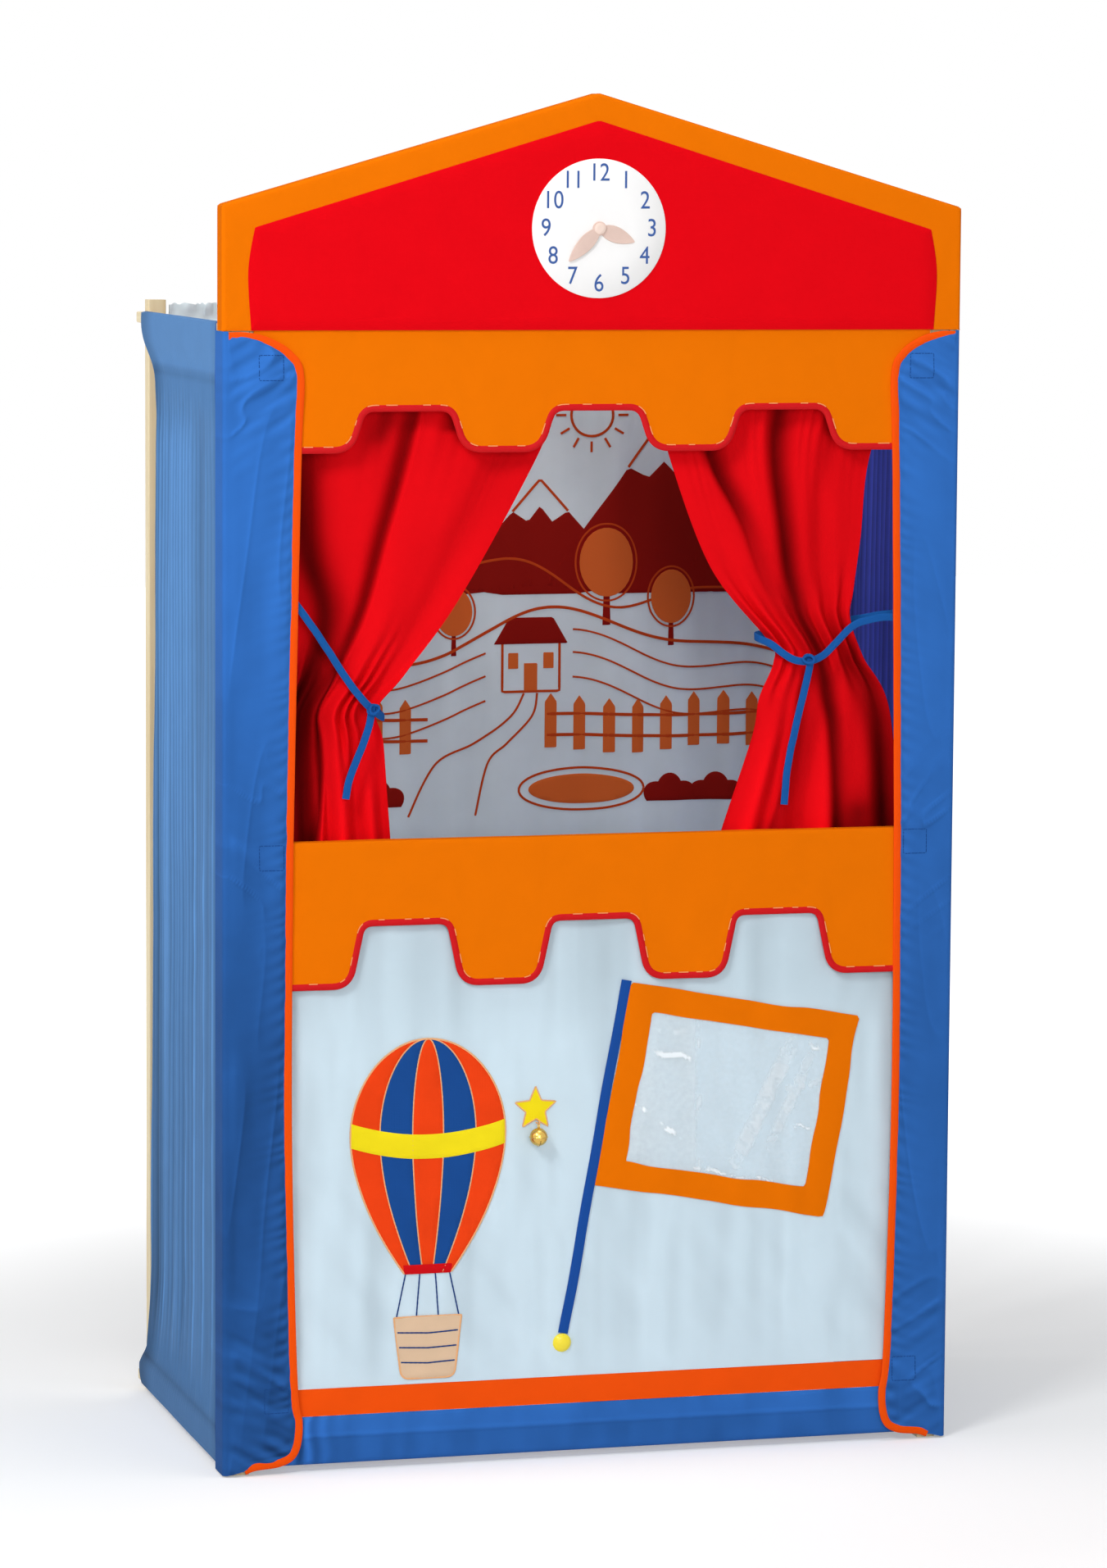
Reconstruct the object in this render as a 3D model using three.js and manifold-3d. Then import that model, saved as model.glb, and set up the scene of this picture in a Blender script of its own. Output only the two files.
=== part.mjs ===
// Puppet theatre stand for children: a pine frame dressed in a sewn cotton cover.
// The front has a gable with a toy clock, a stage opening with tied-back curtains, and a lower panel.
// Millimetres, +Z up, the audience is towards -Y, the origin is on the floor in the middle of the box.

import * as THREE from "three";
import { mergeVertices } from "three/addons/utils/BufferGeometryUtils.js";
import Module from "manifold-3d";

const wasm = await Module();
wasm.setup();

// Overall
const coverWidth = 802; // over the cloth at both sides
const frameDepth = 450; // front face of the front posts to rear face of the rear posts
const peakHeight = 1447;
const gableRise = 246; // from the top of the front bands to the peak
const eavesRise = 129; // from the top of the front bands to the eaves
const sillHeight = 669; // top of the counter cloth
const rearPostRise = 21; // of the rear posts above the top of the front bands

// Fits
const gap = 0.3; // between pieces that touch
const overrun = 8; // cuts run this far past a face
const weldDistance = 0.001; // vertices nearer than this are one vertex

// Pine sections
const postSize = 20; // square
const edgeRadius = 1.6; // planed edges of posts and laths
const sideRailThick = 8;
const sideRailTall = 12;
const sideRailTail = 5; // a side rail sticks out behind its rear post
const topRailRise = 1.5; // middle of the upper side rails above the top of the front bands
const bottomRailHeight = 14.5; // middle of the lower side rails
const pegRadius = 3; // the pegs that hold a side rail to its posts
const pegDepth = 7;
const lathDepth = 10; // the flat laths between the front posts
const lintelTall = 30;
const sillRailTall = 36;
const frontRailTall = 28;
const frontRailBottom = 8.5;
const tenonDepth = 10;
const tenonThick = 5;
const tenonShoulder = 5; // above and below a tenon
const curtainRodRadius = 4;
const curtainRodDepth = 51; // below the top of the front bands
const curtainRodBack = 14.5; // rod axis behind the front face of the posts
const backdropRodRadius = 6;
const backdropRodDepth = 8; // below the top of the front bands
const rodChamfer = 0.8;
const rafterTall = 20;
const ridgeLap = 22; // half length of the half-lap under the peak
const postTenonWide = 9;
const postTenonTall = 9;

// Cotton cover
const clothWall = 1.2;
const lipWall = 0.6; // each side of a binding
const frontCornerRadius = 5;
const bandReturn = 31; // the bands go this far round onto the sides
const bandBottom = 4;
const leftBandWidth = 83;
const rightBandWidth = 74;
const bindingWidth = 8.5;
const bindingTuck = 1; // groove left free past the cloth edge
const pipingWidth = 7;
const tuckInset = 33; // the front cloths end this far inside the cover's sides
const patchSize = 28;
const patchWall = 1.6; // the hook tape and the loop tape together
const patchFromEdge = 5; // from the middle of the binding to the patch
const topPatchDepth = 38; // below the top of the front bands
const middlePatchDepth = 15; // below the counter
const bottomPatchHeight = 79;

// Scalloped valances
const notchPitch = 204;
const notchHalfWidth = 50;
const notchSlant = 14;
const notchRadius = 15;
const topTabDepth = 127; // below the top of the front bands
const topNotchDepth = 84;
const sillTabDepth = 156; // below the counter
const sillNotchDepth = 90;
const valanceTuckUp = 10; // the upper valance goes this far up inside the gable cover
const sillBackFlap = 26;

// Gable
const hoodBackRise = 12; // the back layer starts this far above the front bands
const redPanelPeakDepth = 28; // below the peak
const redPanelEavesDepth = 23; // below the eaves
const redPanelEavesInset = 34;
const redPanelBulge = 27; // inset of the widest place of the red panel
const redPanelBulgeRise = 61; // above the top of the front bands
const redPanelFootInset = 30;
const feltWall = 0.8;

// Clock
const clockRise = 106; // middle of the dial above the top of the front bands
const dialRadius = 72.5;
const dialWall = 1;
const handWall = 1;
const hourHandLength = 41;
const hourHandWidth = 17;
const minuteHandLength = 48;
const minuteHandWidth = 16;
const handHubRadius = 9;
const hourHandDegrees = 110; // clockwise from the top of the dial
const minuteHandDegrees = 224;
const rivetRadius = 2;
const rivetPlay = 0.1;
const rivetHeadRadius = 6;
const rivetHeadWall = 1.2;

// Lower front
const stripeTop = 88;
const skirtTop = 59;
const skirtBottom = 7;
const skirtBackTop = 41;
const pocketBorder = 28.5;
const pocketTilt = 10; // degrees, clockwise
const filmWall = 0.3;
const filmUnder = 6; // the clear film goes this far under the border
const staffWidth = 11;
const staffWall = 1.6;
const staffAbove = 1.5; // above the pocket's upper corner
const knobRadius = 10;
const knobWall = 5;

// Pocket and sewn-on figures: across as shares of the panel's half width, and up as shares of the
// height between the stripe and the counter's tabs
const pocketShares = { x: 0.41576, z: 0.68471, wide: 0.70652, tall: 0.51765, staff: 0.90353 };
const balloonShares = { x: -0.4837, z: 0.60471, half: 0.22826, top: 0.26353, mouth: 0.32471 };
const basketShares = { drop: 0.43529, tall: 0.15529 };
const starShares = { x: -0.16576, z: 0.68235 };
const balloonMouthHalf = 26;
const basketTopHalf = 37;
const basketFootHalf = 29;
const basketRadius = 9;
const starRadius = 24;
const starInnerRadius = 11;

// Bell
const bellRadius = 9.5;
const bellWall = 0.8;
const bellDepth = 28; // below the middle of the star
const bellSlot = 1.7;
const bellBeltRadius = 0.7;
const bellRingRadius = 3.1;
const bellWireRadius = 0.7;
const threadRadius = 0.8;
const threadRise = 4; // from the strand through the ring to the strand above it
const pelletRadius = 2.2;

// Side cloths
const pleatCount = 18;
const pleatHeight = 2.2;
const pleatRamp = 110; // the pleats die out over this length towards a sleeve
const topSleeveTall = 58;
const bottomSleeveTall = 38;
const sleeveRearInset = 27; // end of the upper sleeve in front of the frame's rear face
const topSleeveTaper = 78; // the seam end of the upper sleeve is this much shorter
const sleeveSeamTall = 3;
const sideClothWall = 1;

// Backdrop
const backdropRise = 17; // of the frill above the top of the front bands
const backdropDepth = 109; // of the hem below the counter
const backdropSideGap = 5; // between the cloth and the rear posts
const backdropGathers = 22;
const backdropGatherHeight = 3.4;
const backdropFoldHeight = 2.6;

// Curtains
const curtainHemDepth = 29; // below the counter
const curtainBack = 21; // middle of the hanging cloth behind the front face of the posts
const curtainFolds = 5;
const curtainFoldHeight = 5;
const curtainCinchHeight = 9;
const leftCinchShare = 0.3286; // height of the tie, from the hem, as a share of the hanging length
const rightCinchShare = 0.4592;
const cinchReach = 120;
const curtainLoopLength = 12;
const leftCurtainInner = -14;
const rightCurtainInner = 54;
const curtainWall = 1;

// Curtain ties
const tieWidth = 8;
const tieWall = 2;

// Places worked out from the sizes above
const halfWidth = coverWidth / 2;
const railOuter = halfWidth - clothWall - gap;
const railInner = railOuter - sideRailThick;
const postOuter = railInner - gap;
const postInner = postOuter - postSize;
const tuckHalf = halfWidth - tuckInset;
const coverTop = peakHeight - gableRise; // top of the front bands, where the gable starts
const eavesHeight = coverTop + eavesRise;
const rearPostHeight = coverTop + rearPostRise;
const topRailHeight = coverTop + topRailRise;
const curtainRodHeight = coverTop - curtainRodDepth;
const backdropRodHeight = coverTop - backdropRodDepth;
const topPatchHeight = coverTop - topPatchDepth;
const middlePatchHeight = sillHeight - middlePatchDepth;
const topTabHeight = coverTop - topTabDepth;
const topNotchHeight = coverTop - topNotchDepth;
const sillTabHeight = sillHeight - sillTabDepth;
const sillNotchHeight = sillHeight - sillNotchDepth;
const hoodBackStart = coverTop + hoodBackRise;
const clockHeight = coverTop + clockRise;
const backdropTop = coverTop + backdropRise;
const backdropBottom = sillHeight - backdropDepth;
const curtainTop = curtainRodHeight - curtainRodRadius - gap - curtainWall / 2;
const curtainBottom = sillHeight - curtainHemDepth;
const curtainHeightAt = (share) => curtainBottom + (curtainTop - curtainBottom) * share;
const rearPostFront = frameDepth - postSize;
const rearRodBack = frameDepth - postSize / 2;
const bindingWall = clothWall + 2 * gap + 2 * lipWall;

// Front faces of the cloth layers, from the posts forwards
const panelFront = -gap - clothWall;
const valanceFront = panelFront - gap - (bindingWall + clothWall) / 2;
const patchFront = valanceFront - gap - patchWall;
const bandFront = patchFront - gap - clothWall;
const hoodFront = valanceFront - gap - clothWall;
const redPanelFront = hoodFront - gap - feltWall;
const dialFront = redPanelFront - gap - dialWall;
const hourFront = dialFront - gap - handWall;
const minuteFront = hourFront - gap - handWall;
const figureFront = panelFront - gap - feltWall;
const filmFront = panelFront - gap - filmWall;
const borderFront = filmFront - gap - feltWall;
const hoodBack = postSize + gap + clothWall;
const bellReach = bellRadius + bellBeltRadius;
const bellY = figureFront - gap - bellReach;
const middleY = (bellY - bellReach + frameDepth + sideRailTail) / 2;

// Places on the lower panel
const decorTall = sillTabHeight - stripeTop;
const [pocketX, pocketZ] = [pocketShares.x * tuckHalf, stripeTop + pocketShares.z * decorTall];
const [pocketWidth, pocketTall] = [pocketShares.wide * tuckHalf, pocketShares.tall * decorTall];
const staffLength = pocketShares.staff * decorTall;
const [balloonX, balloonZ] = [balloonShares.x * tuckHalf, stripeTop + balloonShares.z * decorTall];
const balloonHalfWidth = balloonShares.half * tuckHalf;
const balloonTop = balloonShares.top * decorTall; // above its middle
const balloonMouthDrop = balloonShares.mouth * decorTall; // below its middle
const basketTop = balloonZ - basketShares.drop * decorTall;
const basketTall = basketShares.tall * decorTall;
const [starX, starZ] = [starShares.x * tuckHalf, stripeTop + starShares.z * decorTall];
const bellZ = starZ - bellDepth;

// Gable slopes
const slope = (peakHeight - eavesHeight) / halfWidth;
const slopeStretch = Math.hypot(1, slope);
const slopeZ = (x, below) => peakHeight - below * slopeStretch - slope * Math.abs(x);
const rafterTopDrop = clothWall + gap;
const rafterFootDrop = rafterTopDrop + rafterTall;
const postTopDrop = rafterFootDrop + gap;

// Materials
const finish = (color, roughness, metalness = 0) =>
  new THREE.MeshStandardMaterial({ color, roughness, metalness });
const pine = finish(0xf2e2b8, 0.6);
const blueCotton = finish(0x2f62ad, 0.9);
const orangeCotton = finish(0xec7404, 0.9);
const redCotton = finish(0xe01015, 0.9);
const redFelt = finish(0xe30613, 0.95);
const paleCotton = finish(0xcfe3ee, 0.9);
const bindingCotton = finish(0xf4601a, 0.8);
const pipingSatin = finish(0xdc141a, 0.6);
const printedCotton = finish(0xafc3cc, 0.9);
const blueTape = finish(0x1a5ca6, 0.8);
const yellowPlastic = finish(0xf6e11e, 0.4);
const dialCard = finish(0xfbfbfa, 0.7);
const handFelt = finish(0xe6cfc4, 0.9);
const balloonFelt = finish(0xd8241c, 0.95);
const basketFelt = finish(0xdcb98f, 0.95);
const starFelt = finish(0xf6d51e, 0.95);
const clearFilm = finish(0xdfeaf0, 0.1);
const brass = finish(0xd9b65a, 0.3, 1);
const steel = finish(0xb9bcc0, 0.3, 1);

// A closed geometry as a solid that can be cut and joined.
function solid(geometry) {
  const bare = new THREE.BufferGeometry();
  bare.setAttribute("position", geometry.getAttribute("position"));
  if (geometry.index) bare.setIndex(geometry.index);
  const merged = mergeVertices(bare, weldDistance);
  return new wasm.Manifold(
    new wasm.Mesh({
      numProp: 3,
      vertProperties: merged.getAttribute("position").array,
      triVerts: new Uint32Array(merged.index.array),
    }),
  );
}

// A solid back as a geometry with flat shading.
function geometryOf(made) {
  const mesh = made.getMesh();
  const indexed = new THREE.BufferGeometry();
  indexed.setAttribute("position", new THREE.BufferAttribute(mesh.vertProperties, 3));
  indexed.setIndex(new THREE.BufferAttribute(mesh.triVerts, 1));
  const flat = indexed.toNonIndexed();
  flat.computeVertexNormals();
  return flat;
}

// One named sub-part.
function piece(name, made, material) {
  const mesh = new THREE.Mesh(made.isBufferGeometry ? made : geometryOf(made), material);
  mesh.name = name;
  return mesh;
}

function box(x0, x1, y0, y1, z0, z1) {
  const made = new THREE.BoxGeometry(Math.abs(x1 - x0), y1 - y0, z1 - z0);
  made.translate((x0 + x1) / 2, (y0 + y1) / 2, (z0 + z1) / 2);
  return solid(made);
}

// Turns what was extruded along Z so that it runs along X or along Y.
const alongX = new THREE.Matrix4().makeBasis(
  new THREE.Vector3(0, 1, 0),
  new THREE.Vector3(0, 0, 1),
  new THREE.Vector3(1, 0, 0),
);
const alongY = new THREE.Matrix4().makeBasis(
  new THREE.Vector3(0, 0, 1),
  new THREE.Vector3(1, 0, 0),
  new THREE.Vector3(0, 1, 0),
);

// An outline, drawn in X and Z, as a flat piece that goes back from its front face.
function plate(outline, front, wall, curveSegments = 8) {
  const options = { depth: wall, bevelEnabled: false, curveSegments };
  const made = new THREE.ExtrudeGeometry(outline, options);
  made.rotateX(Math.PI / 2);
  made.translate(0, front + wall, 0);
  return solid(made);
}

// A closed outline that always runs anticlockwise, so that holes can be drawn the same way.
function outlineOf(points) {
  const corners = points.map(([a, b]) => new THREE.Vector2(a, b));
  if (THREE.ShapeUtils.area(corners) < 0) corners.reverse();
  return new THREE.Shape(corners);
}

// A rectangle with rounded corners, its middle at a, b.
function roundedRectangle(a, b, wide, tall, radius) {
  const shape = new THREE.Shape();
  const [left, right] = [a - wide / 2, a + wide / 2];
  const [low, high] = [b - tall / 2, b + tall / 2];
  const quarter = Math.PI / 2;
  shape.moveTo(left + radius, low);
  shape.absarc(right - radius, low + radius, radius, -quarter, 0, false);
  shape.absarc(right - radius, high - radius, radius, 0, quarter, false);
  shape.absarc(left + radius, high - radius, radius, quarter, 2 * quarter, false);
  shape.absarc(left + radius, low + radius, radius, 2 * quarter, 3 * quarter, false);
  return shape;
}

// A planed stick: a section with softened edges, run from start to end.
function stick(a, b, wide, tall, start, end, turn) {
  const options = { depth: end - start, bevelEnabled: false, curveSegments: 2 };
  const section = roundedRectangle(a, b, wide, tall, edgeRadius);
  const made = new THREE.ExtrudeGeometry(section, options);
  made.translate(0, 0, start);
  if (turn) made.applyMatrix4(turn);
  return solid(made);
}

// A round rod along Z with chamfered ends, turned by the matrix and moved to its place.
function roundRod(radius, start, end, chamfer, turn, x, y, z, sides = 20) {
  const profile = [
    new THREE.Vector2(0, start),
    new THREE.Vector2(radius - chamfer, start),
    new THREE.Vector2(radius, start + chamfer),
    new THREE.Vector2(radius, end - chamfer),
    new THREE.Vector2(radius - chamfer, end),
    new THREE.Vector2(0, end),
  ];
  const made = new THREE.LatheGeometry(profile, sides);
  made.rotateX(Math.PI / 2);
  const facing = facingOut(made);
  if (turn) facing.applyMatrix4(turn);
  facing.translate(x, y, z);
  return solid(facing);
}

// Turns a closed geometry's faces round if they point inwards.
function facingOut(geometry) {
  const made = mergeVertices(
    new THREE.BufferGeometry()
      .setAttribute("position", geometry.getAttribute("position"))
      .setIndex(geometry.index),
    weldDistance,
  );
  const [p, t] = [made.getAttribute("position"), made.index];
  const [a, b, c] = [new THREE.Vector3(), new THREE.Vector3(), new THREE.Vector3()];
  let volume = 0;
  for (let i = 0; i < t.count; i += 3) {
    a.fromBufferAttribute(p, t.getX(i));
    b.fromBufferAttribute(p, t.getX(i + 1));
    c.fromBufferAttribute(p, t.getX(i + 2));
    volume += a.dot(b.cross(c));
  }
  if (volume < 0)
    for (let i = 0; i < t.count; i += 3) {
      const first = t.getX(i);
      t.setX(i, t.getX(i + 1));
      t.setX(i + 1, first);
    }
  return made;
}

// A closed band of a section along a line of points. The section's second axis stays near up.
function sweep(line, section, up) {
  const [positions, triangles] = [[], []];
  const sides = section.length;
  line.forEach((point, i) => {
    const before = line[Math.max(i - 1, 0)];
    const after = line[Math.min(i + 1, line.length - 1)];
    const ahead = after.clone().sub(before).normalize();
    const high = up.clone().addScaledVector(ahead, -up.dot(ahead)).normalize();
    const across = ahead.clone().cross(high);
    for (const [a, b] of section) {
      const at = point.clone().addScaledVector(across, a).addScaledVector(high, b);
      positions.push(at.x, at.y, at.z);
    }
  });
  for (let i = 0; i + 1 < line.length; i++)
    for (let k = 0; k < sides; k++) {
      const [here, next] = [i * sides + k, i * sides + ((k + 1) % sides)];
      triangles.push(here, next, next + sides, here, next + sides, here + sides);
    }
  const last = (line.length - 1) * sides;
  for (let k = 1; k + 1 < sides; k++) {
    triangles.push(0, k + 1, k);
    triangles.push(last, last + k, last + k + 1);
  }
  const made = new THREE.BufferGeometry();
  made.setAttribute("position", new THREE.Float32BufferAttribute(positions, 3));
  made.setIndex(triangles);
  return facingOut(made);
}

// A cloth of one thickness on a grid: place(u, v) is its middle surface. Where the way through it
// isn't given, it is taken from the places next to each point.
function cloth(columns, rows, place, wall, away) {
  const [positions, triangles] = [[], []];
  const layer = (columns + 1) * (rows + 1);
  const middle = (i, j) => place(i / columns, j / rows);
  const through = (i, j) => {
    const across = middle(Math.min(i + 1, columns), j).sub(middle(Math.max(i - 1, 0), j));
    const down = middle(i, Math.min(j + 1, rows)).sub(middle(i, Math.max(j - 1, 0)));
    return across.cross(down).normalize();
  };
  for (const side of [1, -1])
    for (let j = 0; j <= rows; j++)
      for (let i = 0; i <= columns; i++) {
        const at = middle(i, j).addScaledVector(away ?? through(i, j), (side * wall) / 2);
        positions.push(at.x, at.y, at.z);
      }
  const at = (i, j, far) => far * layer + j * (columns + 1) + i;
  const quad = (a, b, c, d) => triangles.push(a, b, c, a, c, d);
  for (let j = 0; j < rows; j++)
    for (let i = 0; i < columns; i++) {
      quad(at(i, j, 0), at(i + 1, j, 0), at(i + 1, j + 1, 0), at(i, j + 1, 0));
      quad(at(i + 1, j + 1, 1), at(i + 1, j, 1), at(i, j, 1), at(i, j + 1, 1));
    }
  for (let i = 0; i < columns; i++) {
    quad(at(i, 0, 1), at(i + 1, 0, 1), at(i + 1, 0, 0), at(i, 0, 0));
    quad(at(i, rows, 0), at(i + 1, rows, 0), at(i + 1, rows, 1), at(i, rows, 1));
  }
  for (let j = 0; j < rows; j++) {
    quad(at(0, j, 0), at(0, j + 1, 0), at(0, j + 1, 1), at(0, j, 1));
    quad(at(columns, j + 1, 0), at(columns, j, 0), at(columns, j, 1), at(columns, j + 1, 1));
  }
  const made = new THREE.BufferGeometry();
  made.setAttribute("position", new THREE.Float32BufferAttribute(positions, 3));
  made.setIndex(triangles);
  return facingOut(made);
}

// A line of straight stretches whose inner corners are rounded.
function roundedLine(corners, radius, steps) {
  const line = [corners[0]];
  for (let i = 1; i + 1 < corners.length; i++) {
    const corner = corners[i];
    const from = corner.clone().lerp(corners[i - 1], radius / corner.distanceTo(corners[i - 1]));
    const to = corner.clone().lerp(corners[i + 1], radius / corner.distanceTo(corners[i + 1]));
    line.push(...new THREE.QuadraticBezierCurve(from, corner, to).getPoints(steps));
  }
  line.push(corners[corners.length - 1]);
  return line;
}

// Smooth value between places: knots are [position, value], sorted by position.
function smoothThrough(knots) {
  const curve = new THREE.SplineCurve(knots.map(([at, value]) => new THREE.Vector2(at, value)));
  const points = curve.getPoints(knots.length * 8);
  return (at) => {
    const next = points.findIndex((p) => p.x >= at);
    if (next < 0) return points[points.length - 1].y;
    if (next === 0) return points[0].y;
    const [a, b] = [points[next - 1], points[next]];
    return a.y + ((b.y - a.y) * (at - a.x)) / (b.x - a.x);
  };
}

const turnedX = new THREE.Vector3(1, 0, 0);
const turnedY = new THREE.Vector3(0, 1, 0);
const turnedZ = new THREE.Vector3(0, 0, 1);

// Frame: posts
function frontPost(side) {
  const middle = (side * (postOuter + postInner)) / 2;
  const tall = slopeZ(postInner, postTopDrop) + overrun;
  let made = stick(middle, postSize / 2, postSize, postSize, 0, tall);
  const aboveSlope = outlineOf([
    [side * (postInner - overrun), slopeZ(postInner - overrun, postTopDrop)],
    [side * (postOuter + overrun), slopeZ(postOuter + overrun, postTopDrop)],
    [side * (postOuter + overrun), peakHeight],
    [side * (postInner - overrun), peakHeight],
  ]);
  made = made.subtract(plate(aboveSlope, -overrun, postSize + 2 * overrun));
  const tenonTop = slopeZ(postOuter, postTopDrop) + postTenonTall;
  made = made.add(
    box(
      middle - postTenonWide / 2,
      middle + postTenonWide / 2,
      (postSize - tenonThick) / 2,
      (postSize + tenonThick) / 2,
      coverTop,
      tenonTop,
    ),
  );
  for (const [foot, tall] of [
    [coverTop - lintelTall, lintelTall],
    [sillHeight - clothWall - gap - sillRailTall, sillRailTall],
    [frontRailBottom, frontRailTall],
  ])
    made = made.subtract(lathTenon(side, foot, tall, gap));
  made = made.subtract(rodHole(side, curtainRodRadius, curtainRodBack, curtainRodHeight));
  for (const height of [topRailHeight, bottomRailHeight])
    made = made.subtract(pegHole(side, postSize / 2, height));
  return made;
}

function rearPost(side) {
  const middle = (side * (postOuter + postInner)) / 2;
  const back = rearPostFront + postSize / 2;
  let made = stick(middle, back, postSize, postSize, 0, rearPostHeight);
  made = made.subtract(rodHole(side, backdropRodRadius, rearRodBack, backdropRodHeight));
  for (const height of [topRailHeight, bottomRailHeight])
    made = made.subtract(pegHole(side, back, height));
  return made;
}

// The stub tenon of a front lath; ease widens it into the mortise that it goes into.
function lathTenon(side, foot, tall, ease) {
  const inner = side * (postInner - ease);
  const tip = side * (postInner + tenonDepth + ease);
  return box(
    inner,
    tip,
    (lathDepth - tenonThick) / 2 - ease,
    (lathDepth + tenonThick) / 2 + ease,
    foot + tenonShoulder - ease,
    foot + tall - tenonShoulder + ease,
  );
}

function rodHole(side, radius, y, z) {
  const [start, end] = [postInner - overrun, postInner + tenonDepth + gap];
  const [low, high] = side > 0 ? [start, end] : [-end, -start];
  return roundRod(radius + gap, low, high, rodChamfer, alongX, 0, y, z);
}

function pegHole(side, y, z) {
  const [start, end] = [postOuter - pegDepth - gap, postOuter + overrun];
  const [low, high] = side > 0 ? [start, end] : [-end, -start];
  return roundRod(pegRadius + gap, low, high, rodChamfer, alongX, 0, y, z, 16);
}

// Frame: rails, laths and rods
function sideRail(side, height) {
  const middle = (side * (railOuter + railInner)) / 2;
  const end = frameDepth + sideRailTail;
  let made = stick(height, middle, sideRailTall, sideRailThick, 0, end, alongY);
  const [start, tip] = [postOuter - pegDepth, railInner + sideRailThick / 2];
  const [low, high] = side > 0 ? [start, tip] : [-tip, -start];
  for (const y of [postSize / 2, rearPostFront + postSize / 2])
    made = made.add(roundRod(pegRadius, low, high, rodChamfer, alongX, 0, y, height, 16));
  return made;
}

function frontLath(foot, tall) {
  const end = postInner - gap;
  let made = stick(lathDepth / 2, foot + tall / 2, lathDepth, tall, -end, end, alongX);
  for (const side of [-1, 1]) {
    const root = side * (postInner - overrun);
    const tip = side * (postInner + tenonDepth);
    made = made.add(
      box(
        root,
        tip,
        (lathDepth - tenonThick) / 2,
        (lathDepth + tenonThick) / 2,
        foot + tenonShoulder,
        foot + tall - tenonShoulder,
      ),
    );
  }
  return made;
}

function crossRod(radius, y, z) {
  const end = postInner + tenonDepth;
  return roundRod(radius, -end, end, rodChamfer, alongX, 0, y, z);
}

// A gable rafter: a slanted stick whose upper half laps the other one under the peak.
function rafter(side) {
  const foot = railOuter;
  const slab = (from, to, front, wall) =>
    plate(
      outlineOf([
        [side * from, slopeZ(from, rafterTopDrop)],
        [side * to, slopeZ(to, rafterTopDrop)],
        [side * to, slopeZ(to, rafterFootDrop)],
        [side * from, slopeZ(from, rafterFootDrop)],
      ]),
      front,
      wall,
    );
  let made = slab(ridgeLap + gap / 2, foot, 0, postSize);
  const half = (postSize - gap) / 2;
  const lapFront = side < 0 ? 0 : postSize - half;
  made = made.add(plate(lapOutline(side), lapFront, half));
  const middle = (side * (postOuter + postInner)) / 2;
  const mortise = box(
    middle - postTenonWide / 2 - gap,
    middle + postTenonWide / 2 + gap,
    (postSize - tenonThick) / 2 - gap,
    (postSize + tenonThick) / 2 + gap,
    coverTop,
    slopeZ(postOuter, postTopDrop) + postTenonTall + gap,
  );
  return made.subtract(mortise);
}

// The half of the lap that crosses the peak, from inside this rafter to the far end of the lap.
function lapOutline(side) {
  const [near, far] = [side * (ridgeLap + overrun), -side * ridgeLap];
  return outlineOf([
    [near, slopeZ(near, rafterTopDrop)],
    [0, slopeZ(0, rafterTopDrop)],
    [far, slopeZ(far, rafterTopDrop)],
    [far, slopeZ(far, rafterFootDrop)],
    [0, slopeZ(0, rafterFootDrop)],
    [near, slopeZ(near, rafterFootDrop)],
  ]);
}

// Cover: front bands and their bindings
// The binding's middle line, as shares of the band's width and of the cover's height, from the top.
const bandEdgeShares = [
  [0.3, 0.9953],
  [0.566, 0.991],
  [0.855, 0.979],
  [0.985, 0.959],
  [0.952, 0.89],
  [0.88, 0.649],
  [0.849, 0.506],
  [0.843, 0.29],
  [0.916, 0.086],
  [0.985, 0.044],
  [0.93, 0.0195],
  [0.75, 0.0105],
  [0.42, 0.0078],
];

function bandEdge(side) {
  const width = side < 0 ? leftBandWidth : rightBandWidth;
  const corners = bandEdgeShares.map(
    ([inwards, up]) => new THREE.Vector2(side * (halfWidth - inwards * width), up * coverTop),
  );
  const startX = side * (halfWidth - frontCornerRadius - bindingTuck);
  corners.unshift(new THREE.Vector2(startX, corners[0].y));
  return new THREE.SplineCurve(corners).getPoints(bandEdgeShares.length * 2);
}

const bandMiddle = bandFront + clothWall / 2;
const inFront = (line, y) => line.map((p) => new THREE.Vector3(p.x, y, p.y));

// A folded strip over a cloth edge: a flat bar with a groove that the edge goes into.
function foldedStrip(line, y, width, grooveWay) {
  const [half, thick] = [width / 2, bindingWall / 2];
  const bar = [
    [-half, 0],
    [-half + thick, -thick],
    [half - thick, -thick],
    [half, 0],
    [half - thick, thick],
    [-half + thick, thick],
  ];
  const deep = clothWall / 2 + gap;
  const [shut, open] = [-grooveWay * bindingTuck, grooveWay * (half + overrun)];
  const groove = [
    [shut, -deep],
    [open, -deep],
    [open, deep],
    [shut, deep],
  ];
  const run = inFront(line, y);
  const past = extended(run);
  return solid(sweep(run, bar, turnedY)).subtract(solid(sweep(past, groove, turnedY)));
}

// The same line with its two ends drawn out a little.
function extended(line) {
  const longer = line.map((p) => p.clone());
  const [first, last] = [longer[0], longer[longer.length - 1]];
  const reach = (end, from) => end.add(end.clone().sub(from).normalize().multiplyScalar(overrun));
  reach(first, longer[1]);
  reach(last, longer[longer.length - 2]);
  return longer;
}

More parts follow.
